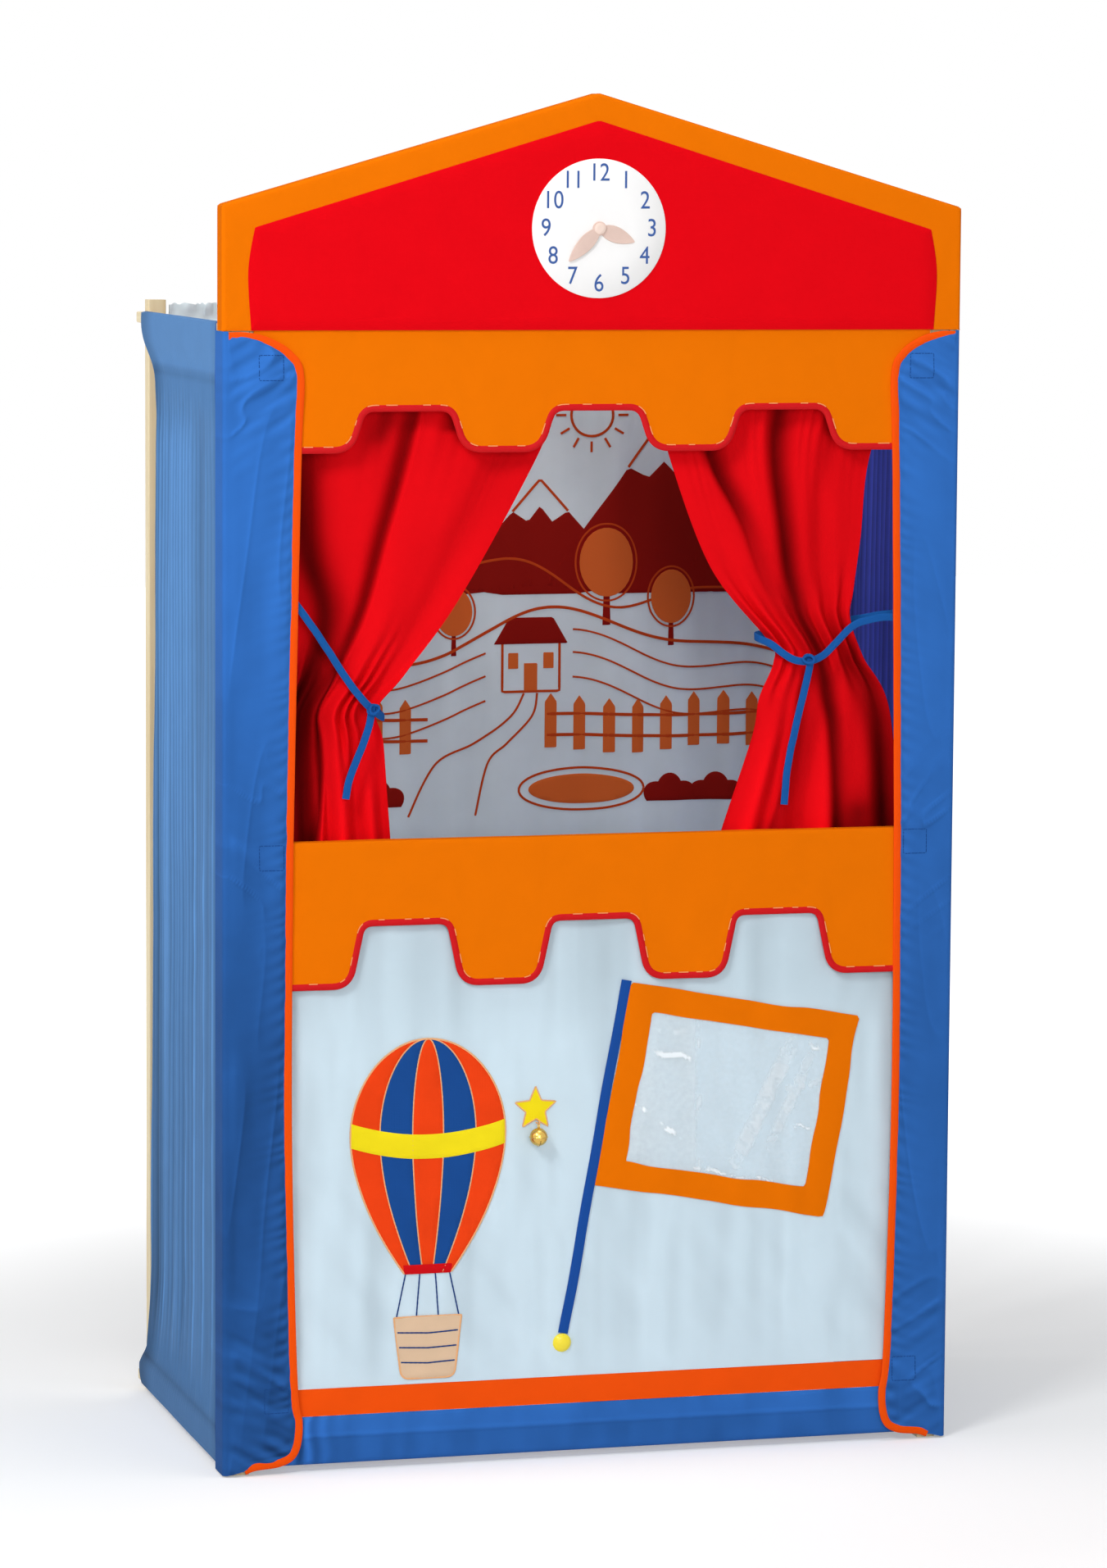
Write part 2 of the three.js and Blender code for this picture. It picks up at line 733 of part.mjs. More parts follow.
function frontBand(side) {
  const corner = frontCornerRadius;
  const profile = new THREE.Shape();
  const [outer, inner] = [side * halfWidth, side * (halfWidth - clothWall)];
  const [front, back] = [bandFront, bandFront + clothWall];
  const stop = side * (halfWidth - leftBandWidth - overrun);
  profile.moveTo(outer, bandReturn);
  profile.lineTo(outer, front + corner);
  profile.quadraticCurveTo(outer, front, outer - side * corner, front);
  profile.lineTo(stop, front);
  profile.lineTo(stop, back);
  profile.lineTo(outer - side * corner, back);
  profile.quadraticCurveTo(inner, back, inner, front + corner);
  profile.lineTo(inner, bandReturn);
  const options = { depth: coverTop - gap - bandBottom, bevelEnabled: false, curveSegments: 4 };
  const folded = new THREE.ExtrudeGeometry(profile, options).translate(0, 0, bandBottom);
  const edge = bandEdge(side);
  const outside = side * (halfWidth + overrun);
  const cornerX = edge[0].x + side * (bindingTuck - gap);
  const kept = new THREE.Shape([
    new THREE.Vector2(outside, coverTop + overrun),
    new THREE.Vector2(cornerX, coverTop + overrun),
    new THREE.Vector2(cornerX, edge[0].y),
    ...edge,
    new THREE.Vector2(edge[edge.length - 1].x, -overrun),
    new THREE.Vector2(outside, -overrun),
  ]);
  return solid(folded).intersect(plate(kept, bandFront - overrun, bandReturn + 2 * overrun));
}

function bandBinding(side) {
  return foldedStrip(bandEdge(side), bandMiddle, bindingWidth, side);
}

// Where a line that runs downwards passes a height.
function edgeAt(line, height) {
  const below = line.findIndex((p) => p.y <= height);
  const [low, high] = [line[below], line[below - 1]];
  return low.x + ((high.x - low.x) * (height - low.y)) / (high.y - low.y);
}

// A stitched square of hook-and-loop tape between a band and the cloth behind it.
function hookPatch(side, height) {
  const edge = bandEdge(side);
  const reach = (patchSize + bindingWidth) / 2;
  const levels = [height - reach, height, height + reach];
  const nearest = Math.max(...levels.map((level) => side * edgeAt(edge, level)));
  const middle = side * (nearest + patchFromEdge + patchSize / 2);
  const square = roundedRectangle(middle, height, patchSize, patchSize, edgeRadius);
  return plate(square, patchFront, patchWall, 2);
}

// Cover: valances
function scallopLine(tabHeight, notchHeight) {
  const corners = [new THREE.Vector2(-tuckHalf, tabHeight)];
  for (const middle of [-notchPitch, 0, notchPitch])
    corners.push(
      new THREE.Vector2(middle - notchHalfWidth - notchSlant, tabHeight),
      new THREE.Vector2(middle - notchHalfWidth, notchHeight),
      new THREE.Vector2(middle + notchHalfWidth, notchHeight),
      new THREE.Vector2(middle + notchHalfWidth + notchSlant, tabHeight),
    );
  corners.push(new THREE.Vector2(tuckHalf, tabHeight));
  return roundedLine(corners, notchRadius, 3);
}

// The edge of the scalloped cloth, above its piping.
const pipingLine = (tab, notch) => scallopLine(tab + pipingWidth, notch + pipingWidth);

function topValance() {
  const top = coverTop + valanceTuckUp;
  const outline = new THREE.Shape([
    new THREE.Vector2(-tuckHalf, top),
    ...pipingLine(topTabHeight, topNotchHeight),
    new THREE.Vector2(tuckHalf, top),
  ]);
  return plate(outline, valanceFront, clothWall);
}

// A corded edge: its section is a flattened round, and its upper side lies against the cloth's edge.
function valancePiping(tabHeight, notchHeight) {
  const line = pipingLine(tabHeight, notchHeight).map((p) => new THREE.Vector2(p.x, p.y));
  const cord = ringSection(pipingWidth / 2 / Math.cos(Math.PI / 6), bindingWall / 2, 6);
  const drop = pipingWidth / 2 + gap;
  return sweep(inFront(besideLine(line, drop), valanceFront + clothWall / 2), cord, turnedY);
}

// The same line moved over to its right-hand side, seen in its own direction.
function besideLine(line, distance) {
  return line.map((point, i) => {
    const before = line[Math.max(i - 1, 0)];
    const after = line[Math.min(i + 1, line.length - 1)];
    const [inward, outward] = [point.clone().sub(before), after.clone().sub(point)];
    const ahead = after.clone().sub(before).normalize();
    const bend = inward.length() && outward.length() ? inward.angleTo(outward) / 2 : 0;
    const reach = distance / Math.cos(bend);
    return new THREE.Vector2(point.x + ahead.y * reach, point.y - ahead.x * reach);
  });
}

// The counter cloth goes up the front, over the sill rail and a little way down behind it.
function counterCloth() {
  const back = lathDepth + gap + clothWall;
  const foot = sillTabHeight - overrun;
  const section = outlineOf([
    [valanceFront, foot],
    [valanceFront + clothWall, foot],
    [valanceFront + clothWall, sillHeight - clothWall],
    [back - clothWall, sillHeight - clothWall],
    [back - clothWall, sillHeight - sillBackFlap],
    [back, sillHeight - sillBackFlap],
    [back, sillHeight],
    [valanceFront, sillHeight],
  ]);
  const options = { depth: 2 * tuckHalf, bevelEnabled: false };
  const made = new THREE.ExtrudeGeometry(section, options).translate(0, 0, -tuckHalf);
  made.applyMatrix4(alongX);
  const line = pipingLine(sillTabHeight, sillNotchHeight);
  const [first, last] = [line[0], line[line.length - 1]];
  const below = new THREE.Shape([
    new THREE.Vector2(first.x - overrun, first.y),
    ...line,
    new THREE.Vector2(last.x + overrun, last.y),
    new THREE.Vector2(last.x + overrun, foot - overrun),
    new THREE.Vector2(first.x - overrun, foot - overrun),
  ]);
  return solid(made).subtract(plate(below, valanceFront - overrun, 2 * overrun));
}

// Lower front
function flatCloth(half, low, high, front, wall) {
  return box(-half, half, front, front + wall, low, high);
}

function baseSkirt() {
  const back = lathDepth + gap + clothWall;
  const front = panelFront;
  const section = outlineOf([
    [front, skirtTop - gap],
    [front, skirtBottom],
    [back, skirtBottom],
    [back, skirtBackTop],
    [back - clothWall, skirtBackTop],
    [back - clothWall, skirtBottom + clothWall],
    [front + clothWall, skirtBottom + clothWall],
    [front + clothWall, skirtTop - gap],
  ]);
  const options = { depth: 2 * tuckHalf, bevelEnabled: false };
  const made = new THREE.ExtrudeGeometry(section, options).translate(0, 0, -tuckHalf);
  return made.applyMatrix4(alongX);
}

// Pocket and flag staff, drawn round the pocket's own middle
function pocketFrame() {
  const outline = roundedRectangle(0, 0, pocketWidth, pocketTall, edgeRadius);
  const [wide, tall] = [pocketWidth - 2 * pocketBorder, pocketTall - 2 * pocketBorder];
  outline.holes.push(roundedRectangle(0, 0, wide, tall, edgeRadius));
  return plate(outline, borderFront, feltWall, 2);
}

function pocketFilm() {
  const wide = pocketWidth - 2 * (pocketBorder - filmUnder);
  const tall = pocketTall - 2 * (pocketBorder - filmUnder);
  return plate(roundedRectangle(0, 0, wide, tall, edgeRadius), filmFront, filmWall, 2);
}

const staffMiddle = -(pocketWidth + staffWidth) / 2 - gap;
const staffTop = pocketTall / 2 + staffAbove;
const staffFoot = staffTop - staffLength;

function flagStaff() {
  const middle = (staffTop + staffFoot) / 2;
  const strip = roundedRectangle(staffMiddle, middle, staffWidth, staffLength, edgeRadius);
  return plate(strip, panelFront - gap - staffWall, staffWall, 2);
}

// A domed button below the staff.
function staffKnob() {
  const rim = knobWall / 3;
  const profile = [
    [0, 0],
    [knobRadius - rim / 2, 0],
    [knobRadius, rim / 2],
    [knobRadius, rim],
    [knobRadius * 0.8, knobWall * 0.8],
    [knobRadius * 0.45, knobWall],
    [0, knobWall],
  ].map(([r, h]) => new THREE.Vector2(r, h));
  const made = facingOut(new THREE.LatheGeometry(profile, 20));
  return made.rotateX(Math.PI).translate(staffMiddle, 0, staffFoot - gap - knobRadius);
}

// Gable cover: a hood of two layers joined along the slopes and down the sides
function gableOutline(inset, foot) {
  const side = halfWidth - inset;
  return outlineOf([
    [-side, foot],
    [side, foot],
    [side, slopeZ(side, inset)],
    [0, slopeZ(0, inset)],
    [-side, slopeZ(side, inset)],
  ]);
}

function gableCover() {
  const deep = hoodBack - hoodFront;
  let made = plate(gableOutline(0, coverTop), hoodFront, deep);
  const hollow = gableOutline(clothWall, coverTop - overrun);
  made = made.subtract(plate(hollow, hoodFront + clothWall, deep - 2 * clothWall));
  const far = halfWidth + overrun;
  const belowBack = box(-far, far, postSize, hoodBack + overrun, coverTop - overrun, hoodBackStart);
  return made.subtract(belowBack).subtract(rivetHole(gap));
}

function rivetHole(ease) {
  const [start, end] = [minuteFront - overrun, hoodFront + clothWall + overrun];
  return roundRod(rivetRadius + ease, start, end, 0, alongYRod, 0, 0, clockHeight, 16);
}

function gableRedPanel() {
  const half = [];
  half.push([halfWidth - redPanelFootInset, coverTop + gap]);
  half.push([halfWidth - redPanelBulge, coverTop + redPanelBulgeRise]);
  half.push([halfWidth - redPanelEavesInset, eavesHeight - redPanelEavesDepth]);
  const other = half.map(([x, z]) => [-x, z]).reverse();
  const outline = outlineOf([...half, [0, peakHeight - redPanelPeakDepth], ...other]);
  return plate(outline, redPanelFront, feltWall).subtract(rivetHole(gap));
}

// Clock
const alongYRod = new THREE.Matrix4().makeBasis(
  new THREE.Vector3(1, 0, 0),
  new THREE.Vector3(0, 0, -1),
  new THREE.Vector3(0, 1, 0),
);

function clockDial() {
  const disc = new THREE.Shape();
  disc.absarc(0, clockHeight, dialRadius, 0, 2 * Math.PI, false);
  return plate(disc, dialFront, dialWall, 28).subtract(rivetHole(gap));
}

// A leaf-shaped hand that points up from its hub, drawn round the hub.
function clockHand(length, width, front) {
  const half = width / 2;
  const leaf = new THREE.Shape();
  leaf.moveTo(0, length);
  leaf.bezierCurveTo(half, length * 0.75, half * 1.2, length * 0.3, handHubRadius * 0.8, 0);
  leaf.absarc(0, 0, handHubRadius * 0.8, 0, -Math.PI, true);
  leaf.bezierCurveTo(-half * 1.2, length * 0.3, -half, length * 0.75, 0, length);
  const hole = new THREE.Path();
  hole.absarc(0, 0, rivetRadius + rivetPlay, 0, 2 * Math.PI, false);
  leaf.holes.push(hole);
  return plate(leaf, front, handWall, 6);
}

// A tubular rivet: a head in front of the hands and a flange behind the gable cloth.
function clockRivet() {
  const headBack = minuteFront - gap;
  const flangeFront = hoodFront + clothWall + gap;
  const profile = [
    [0, headBack - rivetHeadWall],
    [rivetHeadRadius * 0.6, headBack - rivetHeadWall],
    [rivetHeadRadius, headBack - rivetHeadWall / 2],
    [rivetHeadRadius, headBack],
    [rivetRadius, headBack],
    [rivetRadius, flangeFront],
    [rivetHeadRadius, flangeFront],
    [rivetHeadRadius, flangeFront + rivetHeadWall],
    [0, flangeFront + rivetHeadWall],
  ].map(([r, y]) => new THREE.Vector2(r, y));
  return facingOut(new THREE.LatheGeometry(profile, 16)).translate(0, 0, clockHeight);
}

// Sewn-on figures: a hot-air balloon, its basket and a star
function balloonShape() {
  const [x, z] = [balloonX, balloonZ];
  const [half, mouth] = [balloonHalfWidth, balloonMouthHalf];
  const [top, foot] = [z + balloonTop, z - balloonMouthDrop];
  const shape = new THREE.Shape();
  shape.moveTo(x - mouth, foot);
  shape.bezierCurveTo(x - mouth, foot, x - half, z - half * 0.72, x - half, z + half * 0.12);
  shape.bezierCurveTo(x - half, z + half * 0.72, x - half * 0.58, top, x, top);
  shape.bezierCurveTo(x + half * 0.58, top, x + half, z + half * 0.72, x + half, z + half * 0.12);
  shape.bezierCurveTo(x + half, z - half * 0.72, x + mouth, foot, x + mouth, foot);
  return plate(shape, figureFront, feltWall, 12);
}

function basketShape() {
  const corners = [
    [balloonX - basketTopHalf, basketTop],
    [balloonX - basketFootHalf, basketTop - basketTall],
    [balloonX + basketFootHalf, basketTop - basketTall],
    [balloonX + basketTopHalf, basketTop],
  ].map(([a, b]) => new THREE.Vector2(a, b));
  const shape = new THREE.Shape(roundedLine(corners, basketRadius, 4));
  return plate(shape, figureFront, feltWall);
}

function starShape() {
  const points = [];
  for (let i = 0; i < 10; i++) {
    const radius = i % 2 ? starInnerRadius : starRadius;
    const turn = (i * Math.PI) / 5;
    points.push([starX + radius * Math.sin(turn), starZ + radius * Math.cos(turn)]);
  }
  return plate(outlineOf(points), figureFront, feltWall);
}

// Bell: a hollow ball with a cross slot below, a belt and a wire ring on top
const bellRingZ = bellZ + bellRadius + bellRingRadius - bellWireRadius / 2;
const threadZ = bellRingZ + bellRingRadius - bellWireRadius - threadRadius - rivetPlay;

function bellBody() {
  const inner = bellRadius - bellWall;
  const ball = new THREE.SphereGeometry(bellRadius, 12, 8);
  const hollow = new THREE.SphereGeometry(inner, 8, 6);
  const belt = new THREE.TorusGeometry(bellRadius, bellBeltRadius, 4, 12);
  const ring = new THREE.TorusGeometry(bellRingRadius, bellWireRadius, 5, 10);
  ring.rotateX(Math.PI / 2).translate(0, 0, bellRingZ - bellZ);
  let made = solid(ball).add(solid(belt)).add(solid(ring));
  made = made.subtract(solid(hollow));
  const [reach, half] = [bellRadius + overrun, bellSlot / 2];
  const low = -bellRadius - overrun;
  const slotTop = -bellRadius * 0.35;
  made = made.subtract(box(-reach, reach, -half, half, low, slotTop));
  made = made.subtract(box(-half, half, -reach, reach, low, slotTop));
  return made.translate([starX, bellY, bellZ]);
}

function bellPellet() {
  const z = bellZ - bellRadius + bellWall + pelletRadius + gap;
  return new THREE.SphereGeometry(pelletRadius, 10, 6).translate(starX, bellY, z);
}

// The thread goes out from the star, through the bell's ring and back above it.
function bellThread() {
  const back = figureFront - gap;
  const front = bellY - bellWireRadius - threadRadius - gap;
  const upper = threadZ + threadRise;
  const turn = threadRise / 2;
  const line = [new THREE.Vector3(starX, back, threadZ)];
  for (let i = 0; i <= 8; i++) {
    const angle = (Math.PI * i) / 8;
    const y = front - turn * Math.sin(angle);
    line.push(new THREE.Vector3(starX, y, threadZ + turn * (1 - Math.cos(angle))));
  }
  line.push(new THREE.Vector3(starX, back, upper));
  return sweep(line, ringSection(threadRadius, threadRadius, 8), turnedX);
}

// The points of a round or flattened section.
function ringSection(halfAcross, halfHigh, sides) {
  return Array.from({ length: sides }, (_, k) => {
    const angle = (2 * Math.PI * (k + 0.5)) / sides;
    return [halfAcross * Math.cos(angle), halfHigh * Math.sin(angle)];
  });
}

// Side cloths: a sleeve round each side rail and fine pleats between them
// Rear edge of the pleats: shares of the frame's depth against shares of the height between seams.
const sideRowShares = [0, 0.1, 0.3, 0.7, 0.9, 1];
const sideRearShares = [
  [0, 0.94],
  [0.1, 0.935],
  [0.45, 0.865],
  [0.8, 0.805],
  [1, 0.765],
];

function sideCloth(side) {
  const [outer, wallInner] = [halfWidth, halfWidth - clothWall];
  const inner = railInner - gap;
  const start = bandReturn + gap;
  const topZ = topRailHeight + sideRailTall / 2 + gap + clothWall;
  const topSeam = topZ - topSleeveTall;
  const footZ = bottomRailHeight - sideRailTall / 2 - gap - clothWall;
  const footSeam = footZ + bottomSleeveTall;
  const sleeve = (rim, seam, up, end) => {
    const belly = rim - up * (sideRailTall + 3 * clothWall);
    const outline = outlineOf([
      [side * outer, seam - up * sleeveSeamTall],
      [side * outer, rim - up * edgeRadius],
      [side * (outer - edgeRadius), rim],
      [side * (inner - clothWall + edgeRadius), rim],
      [side * (inner - clothWall), rim - up * edgeRadius],
      [side * (inner - clothWall), belly],
      [side * (wallInner - clothWall), seam],
      [side * (wallInner - clothWall), seam - up * sleeveSeamTall],
    ]);
    outline.holes.push(
      outlineOf([
        [side * wallInner, seam + up * sleeveSeamTall],
        [side * wallInner, rim - up * clothWall],
        [side * inner, rim - up * clothWall],
        [side * inner, belly],
      ]),
    );
    return plate(outline, start, end - start);
  };
  const topEnd = frameDepth - sleeveRearInset;
  let top = sleeve(topZ, topSeam, 1, topEnd);
  const far = halfWidth + overrun;
  const taper = slabFromSide(side, [
    [topEnd + overrun, topZ - topSleeveTall * 0.45],
    [topEnd, topZ - topSleeveTall * 0.45],
    [topEnd - topSleeveTaper, topSeam - sleeveSeamTall - gap],
    [topEnd + overrun, topSeam - sleeveSeamTall - overrun],
  ], inner - 2 * overrun, far);
  top = top.subtract(taper);
  const postClear = rearPostFront - gap - clothWall;
  const foot = sleeve(footZ, footSeam, -1, postClear);
  const flap = slabFromSide(side, [
    [postClear - overrun, footSeam - sleeveSeamTall],
    [postClear, footSeam],
    [frameDepth, footZ + bottomSleeveTall * 0.65],
    [postClear + overrun, footZ],
    [postClear - overrun, footZ + edgeRadius],
  ], wallInner, outer);
  const rearAt = smoothThrough(sideRearShares.map(([up, share]) => [up, share * frameDepth]));
  const [low, high] = [footSeam - sleeveSeamTall / 2, topSeam + sleeveSeamTall / 2];
  const seamX = halfWidth - clothWall;
  const crestX = halfWidth - pleatHeight - sideClothWall / 2;
  const rows = sideRowShares.length - 1;
  const body = cloth(pleatCount * 3, rows, (u, v) => {
    const spread = sideRowShares[Math.round(v * rows)];
    const z = low + (high - low) * spread;
    const ends = Math.min(z - low, high - z) / pleatRamp;
    const strength = Math.min(1, ends) ** 0.7;
    const y = start + (rearAt(spread) - start) * u;
    const wave = Math.cos(2 * Math.PI * pleatCount * u);
    const x = seamX + (crestX - seamX) * strength + pleatHeight * strength * wave;
    return new THREE.Vector3(side * x, y, z);
  }, sideClothWall, turnedX);
  return top.add(foot).add(flap).add(solid(body));
}

// A plate drawn in Y and Z, from one distance to another on one side of the middle.
function slabFromSide(side, points, near, far) {
  const options = { depth: far - near, bevelEnabled: false };
  const made = new THREE.ExtrudeGeometry(outlineOf(points), options);
  made.translate(0, 0, side > 0 ? near : -far);
  return solid(made.applyMatrix4(alongX));
}

// A sleeve of cloth round a rod that runs along X.
function rodSleeve(radius, wall, start, end, y, z, sides = 12) {
  const ring = new THREE.Shape();
  ring.absarc(y, z, radius + gap + wall, 0, 2 * Math.PI, false);
  const bore = new THREE.Path();
  bore.absarc(y, z, radius + gap, 0, 2 * Math.PI, false);
  ring.holes.push(bore);
  const options = { depth: end - start, bevelEnabled: false, curveSegments: sides };
  const made = new THREE.ExtrudeGeometry(ring, options).translate(0, 0, start);
  return solid(made.applyMatrix4(alongX));
}

// Backdrop: a gathered heading round its rod, a frill above it and a mildly folded sheet below
const backdropRowShares = [0, 0.12, 0.45, 1];

function backdropCloth() {
  const half = postInner - backdropSideGap;
  const [y, z] = [rearRodBack, backdropRodHeight];
  const reach = backdropRodRadius + gap + clothWall / 2;
  const gathers = (u) => Math.sin(2 * Math.PI * backdropGathers * u);
  const folds = (u) => Math.sin(2 * Math.PI * 5 * u + 0.8) + 0.5 * Math.sin(2 * Math.PI * 11 * u);
  const frill = cloth(backdropGathers * 3, 1, (u, v) => {
    const at = z + reach + (backdropTop - z - reach) * v;
    return new THREE.Vector3(half * (2 * u - 1), y + backdropGatherHeight * gathers(u) * v, at);
  }, clothWall, turnedY);
  const rows = backdropRowShares.length - 1;
  const sheet = cloth(32, rows, (u, v) => {
    const share = backdropRowShares[Math.round(v * rows)];
    const at = z - reach - (z - reach - backdropBottom) * share;
    const lean = backdropFoldHeight * folds(u) * Math.min(1, share * 4);
    return new THREE.Vector3(half * (2 * u - 1), y + lean, at);
  }, clothWall, turnedY);
  const sleeve = rodSleeve(backdropRodRadius, clothWall, -half, half, y, z);
  return sleeve.add(solid(frill)).add(solid(sheet));
}

// Curtains, tied back at the sides
// Edges of the hanging cloth from the rod to the hem: height and distance from the middle,
// each as a share of the curtain's drop and of the posts' inner half width.
const leftOuterShares = [
  [0, 0.99],
  [0.3, 0.93],
  [0.48, 0.858],
  [0.6, 0.875],
  [0.73, 0.93],
  [1, 0.945],
];
const leftInnerShares = [
  [0, 0.076],
  [0.157, 0.162],
  [0.45, 0.388],
  [0.6, 0.54],
  [0.675, 0.625],
  [0.75, 0.602],
  [0.95, 0.58],
  [1, 0.577],
];
const rightOuterShares = [
  [0, 0.9],
  [0.17, 0.827],
  [0.33, 0.808],
  [0.44, 0.789],
  [0.5, 0.779],
  [0.58, 0.82],
  [0.7, 0.91],
  [1, 0.945],
];
const rightInnerShares = [
  [0, 0.182],
  [0.16, 0.232],
  [0.39, 0.361],
  [0.545, 0.54],
  [0.59, 0.557],
  [0.665, 0.512],
  [0.75, 0.49],
  [0.945, 0.4],
  [1, 0.38],
];

const curtainRowShares = [0, 0.05, 0.14, 0.26, 0.38, 0.47, 0.545, 0.61, 0.675, 0.74, 0.84, 1];

function curtain(side) {
  const [outerShares, innerShares] =
    side < 0 ? [leftOuterShares, leftInnerShares] : [rightOuterShares, rightInnerShares];
  const [outerAt, innerAt] = [smoothThrough(outerShares), smoothThrough(innerShares)];
  const cinchZ = curtainHeightAt(side < 0 ? leftCinchShare : rightCinchShare);
  const rows = curtainRowShares.length - 1;
  const sheet = cloth(curtainFolds * 5, rows, (u, v) => {
    const down = curtainRowShares[Math.round(v * rows)];
    const z = curtainHeightAt(1 - down);
    const x = postInner * (outerAt(down) + (innerAt(down) - outerAt(down)) * u);
    const cinch = Math.exp(-(((z - cinchZ) / cinchReach) ** 2));
    const spread = Math.min(1, down * 9);
    const height = curtainFoldHeight + (curtainCinchHeight - curtainFoldHeight) * cinch;
    const fold = Math.sin(2 * Math.PI * curtainFolds * u + 0.6);
    const y = curtainRodBack + (curtainBack - curtainRodBack) * spread + height * spread * fold;
    return new THREE.Vector3(side * x, y, z);
  }, curtainWall);
  const outer = postInner * outerAt(0);
  const inner = side < 0 ? -leftCurtainInner : rightCurtainInner;
  const [from, to] = [inner + curtainLoopLength + gap, outer];
  const [start, end] = side < 0 ? [-to, -from] : [from, to];
  const sleeve = rodSleeve(curtainRodRadius, curtainWall, start, end, curtainRodBack, curtainRodHeight, 6);
  return sleeve.add(solid(sheet));
}

// The leading loop of a curtain's heading, which slides along the rod.
function curtainLoop(side) {
  const inner = side < 0 ? leftCurtainInner : rightCurtainInner;
  const end = inner + side * curtainLoopLength;
  const [low, high] = side < 0 ? [end, inner] : [inner, end];
  return rodSleeve(curtainRodRadius, curtainWall, low, high, curtainRodBack, curtainRodHeight, 8);
}

// Curtain ties: flat tape, each route chosen by hand. Across as a share of the posts' inner half
// width, back as a share of a post, and up from the hem as a share of the curtain's hanging length.
const leftTieShares = [
  [-1.0399, -0.075, 0.6651],
  [-0.9941, -0.075, 0.6492],
  [-0.9537, -0.11, 0.6235],
  [-0.9186, -0.14, 0.5958],
  [-0.8782, -0.13, 0.5582],
  [-0.8324, -0.075, 0.5146],
  [-0.7812, 0.06, 0.4612],
  [-0.7274, 0.17, 0.4018],
  [-0.6735, 0.26, 0.3504],
  [-0.6331, 0.38, 0.3226],
  [-0.6088, 0.65, 0.3108],
  [-0.6021, 1.0, 0.3108],
  [-0.6102, 1.35, 0.3167],
  [-0.6385, 1.675, 0.3365],
  [-0.7058, 1.85, 0.3919],
  [-0.7812, 1.85, 0.4553],
  [-0.8621, 1.65, 0.5008],
  [-0.9429, 1.3, 0.5206],
  [-0.986, 1.05, 0.5265],
];
const leftTailShares = [
  [-0.6466, 0.21, 0.3345],
  [-0.6479, 0.2, 0.3187],
  [-0.6546, 0.16, 0.2949],
  [-0.6735, 0.07, 0.2573],
  [-0.6977, 0.02, 0.2138],
  [-0.7139, 0.06, 0.1781],
  [-0.722, 0.1, 0.1445],
];
const rightTieShares = [
  [1.0399, -0.075, 0.4929],
  [0.9941, -0.08, 0.4949],
  [0.9483, -0.135, 0.4988],
  [0.9106, -0.135, 0.5028],
  [0.8675, -0.075, 0.5048],
  [0.819, 0.075, 0.4988],
  [0.7759, 0.15, 0.4869],
  [0.7274, 0.17, 0.4533],
  [0.687, 0.16, 0.4256],
  [0.6466, 0.15, 0.4137],
  [0.6061, 0.18, 0.4157],
  [0.5684, 0.29, 0.4295],
  [0.5388, 0.5, 0.4473],
  [0.5159, 0.8, 0.4572],
  [0.5051, 1.15, 0.4612],
  [0.5065, 1.55, 0.4652],
  [0.5603, 1.9, 0.4691],
  [0.66, 1.95, 0.4751],
  [0.7328, 1.9, 0.483],
  [0.8082, 1.7, 0.4949],
  [0.9025, 1.35, 0.5067],
  [0.986, 1.05, 0.5127],
];
const rightTailShares = [
  [0.6466, 0.03, 0.4177],
  [0.6425, 0.015, 0.3979],
  [0.6331, -0.03, 0.3682],
  [0.6142, -0.07, 0.3167],
  [0.5954, -0.04, 0.2534],
  [0.5792, 0, 0.1821],
  [0.5711, 0.04, 0.1108],
];

function tape(route, up) {
  const points = route.map(
    ([across, back, up]) =>
      new THREE.Vector3(across * postInner, back * postSize, curtainHeightAt(up)),
  );
  const curve = new THREE.CatmullRomCurve3(points);
  const steps = Math.round(curve.getLength() / (2.5 * tieWidth));
  const line = curve.getSpacedPoints(steps);
  return sweep(line, ringSection(tieWall / 2, tieWidth / 2, 8), up);
}

// The whole stand
const stand = new THREE.Group();
stand.position.y = -middleY;

const frame = new THREE.Group();
for (const [side, hand] of [
  [-1, "left"],
  [1, "right"],
]) {
  frame.add(piece(`front_post_${hand}`, frontPost(side), pine));
  frame.add(piece(`rear_post_${hand}`, rearPost(side), pine));
  frame.add(piece(`side_rail_top_${hand}`, sideRail(side, topRailHeight), pine));
  frame.add(piece(`side_rail_bottom_${hand}`, sideRail(side, bottomRailHeight), pine));
  frame.add(piece(`gable_rafter_${hand}`, rafter(side), pine));
}
frame.add(piece("lintel_rail", frontLath(coverTop - lintelTall, lintelTall), pine));
const sillRailFoot = sillHeight - clothWall - gap - sillRailTall;
frame.add(piece("sill_rail", frontLath(sillRailFoot, sillRailTall), pine));
frame.add(piece("front_rail_bottom", frontLath(frontRailBottom, frontRailTall), pine));
const curtainRod = crossRod(curtainRodRadius, curtainRodBack, curtainRodHeight);
frame.add(piece("curtain_rod", curtainRod, pine));
frame.add(piece("backdrop_rod", crossRod(backdropRodRadius, rearRodBack, backdropRodHeight), pine));
stand.add(frame);

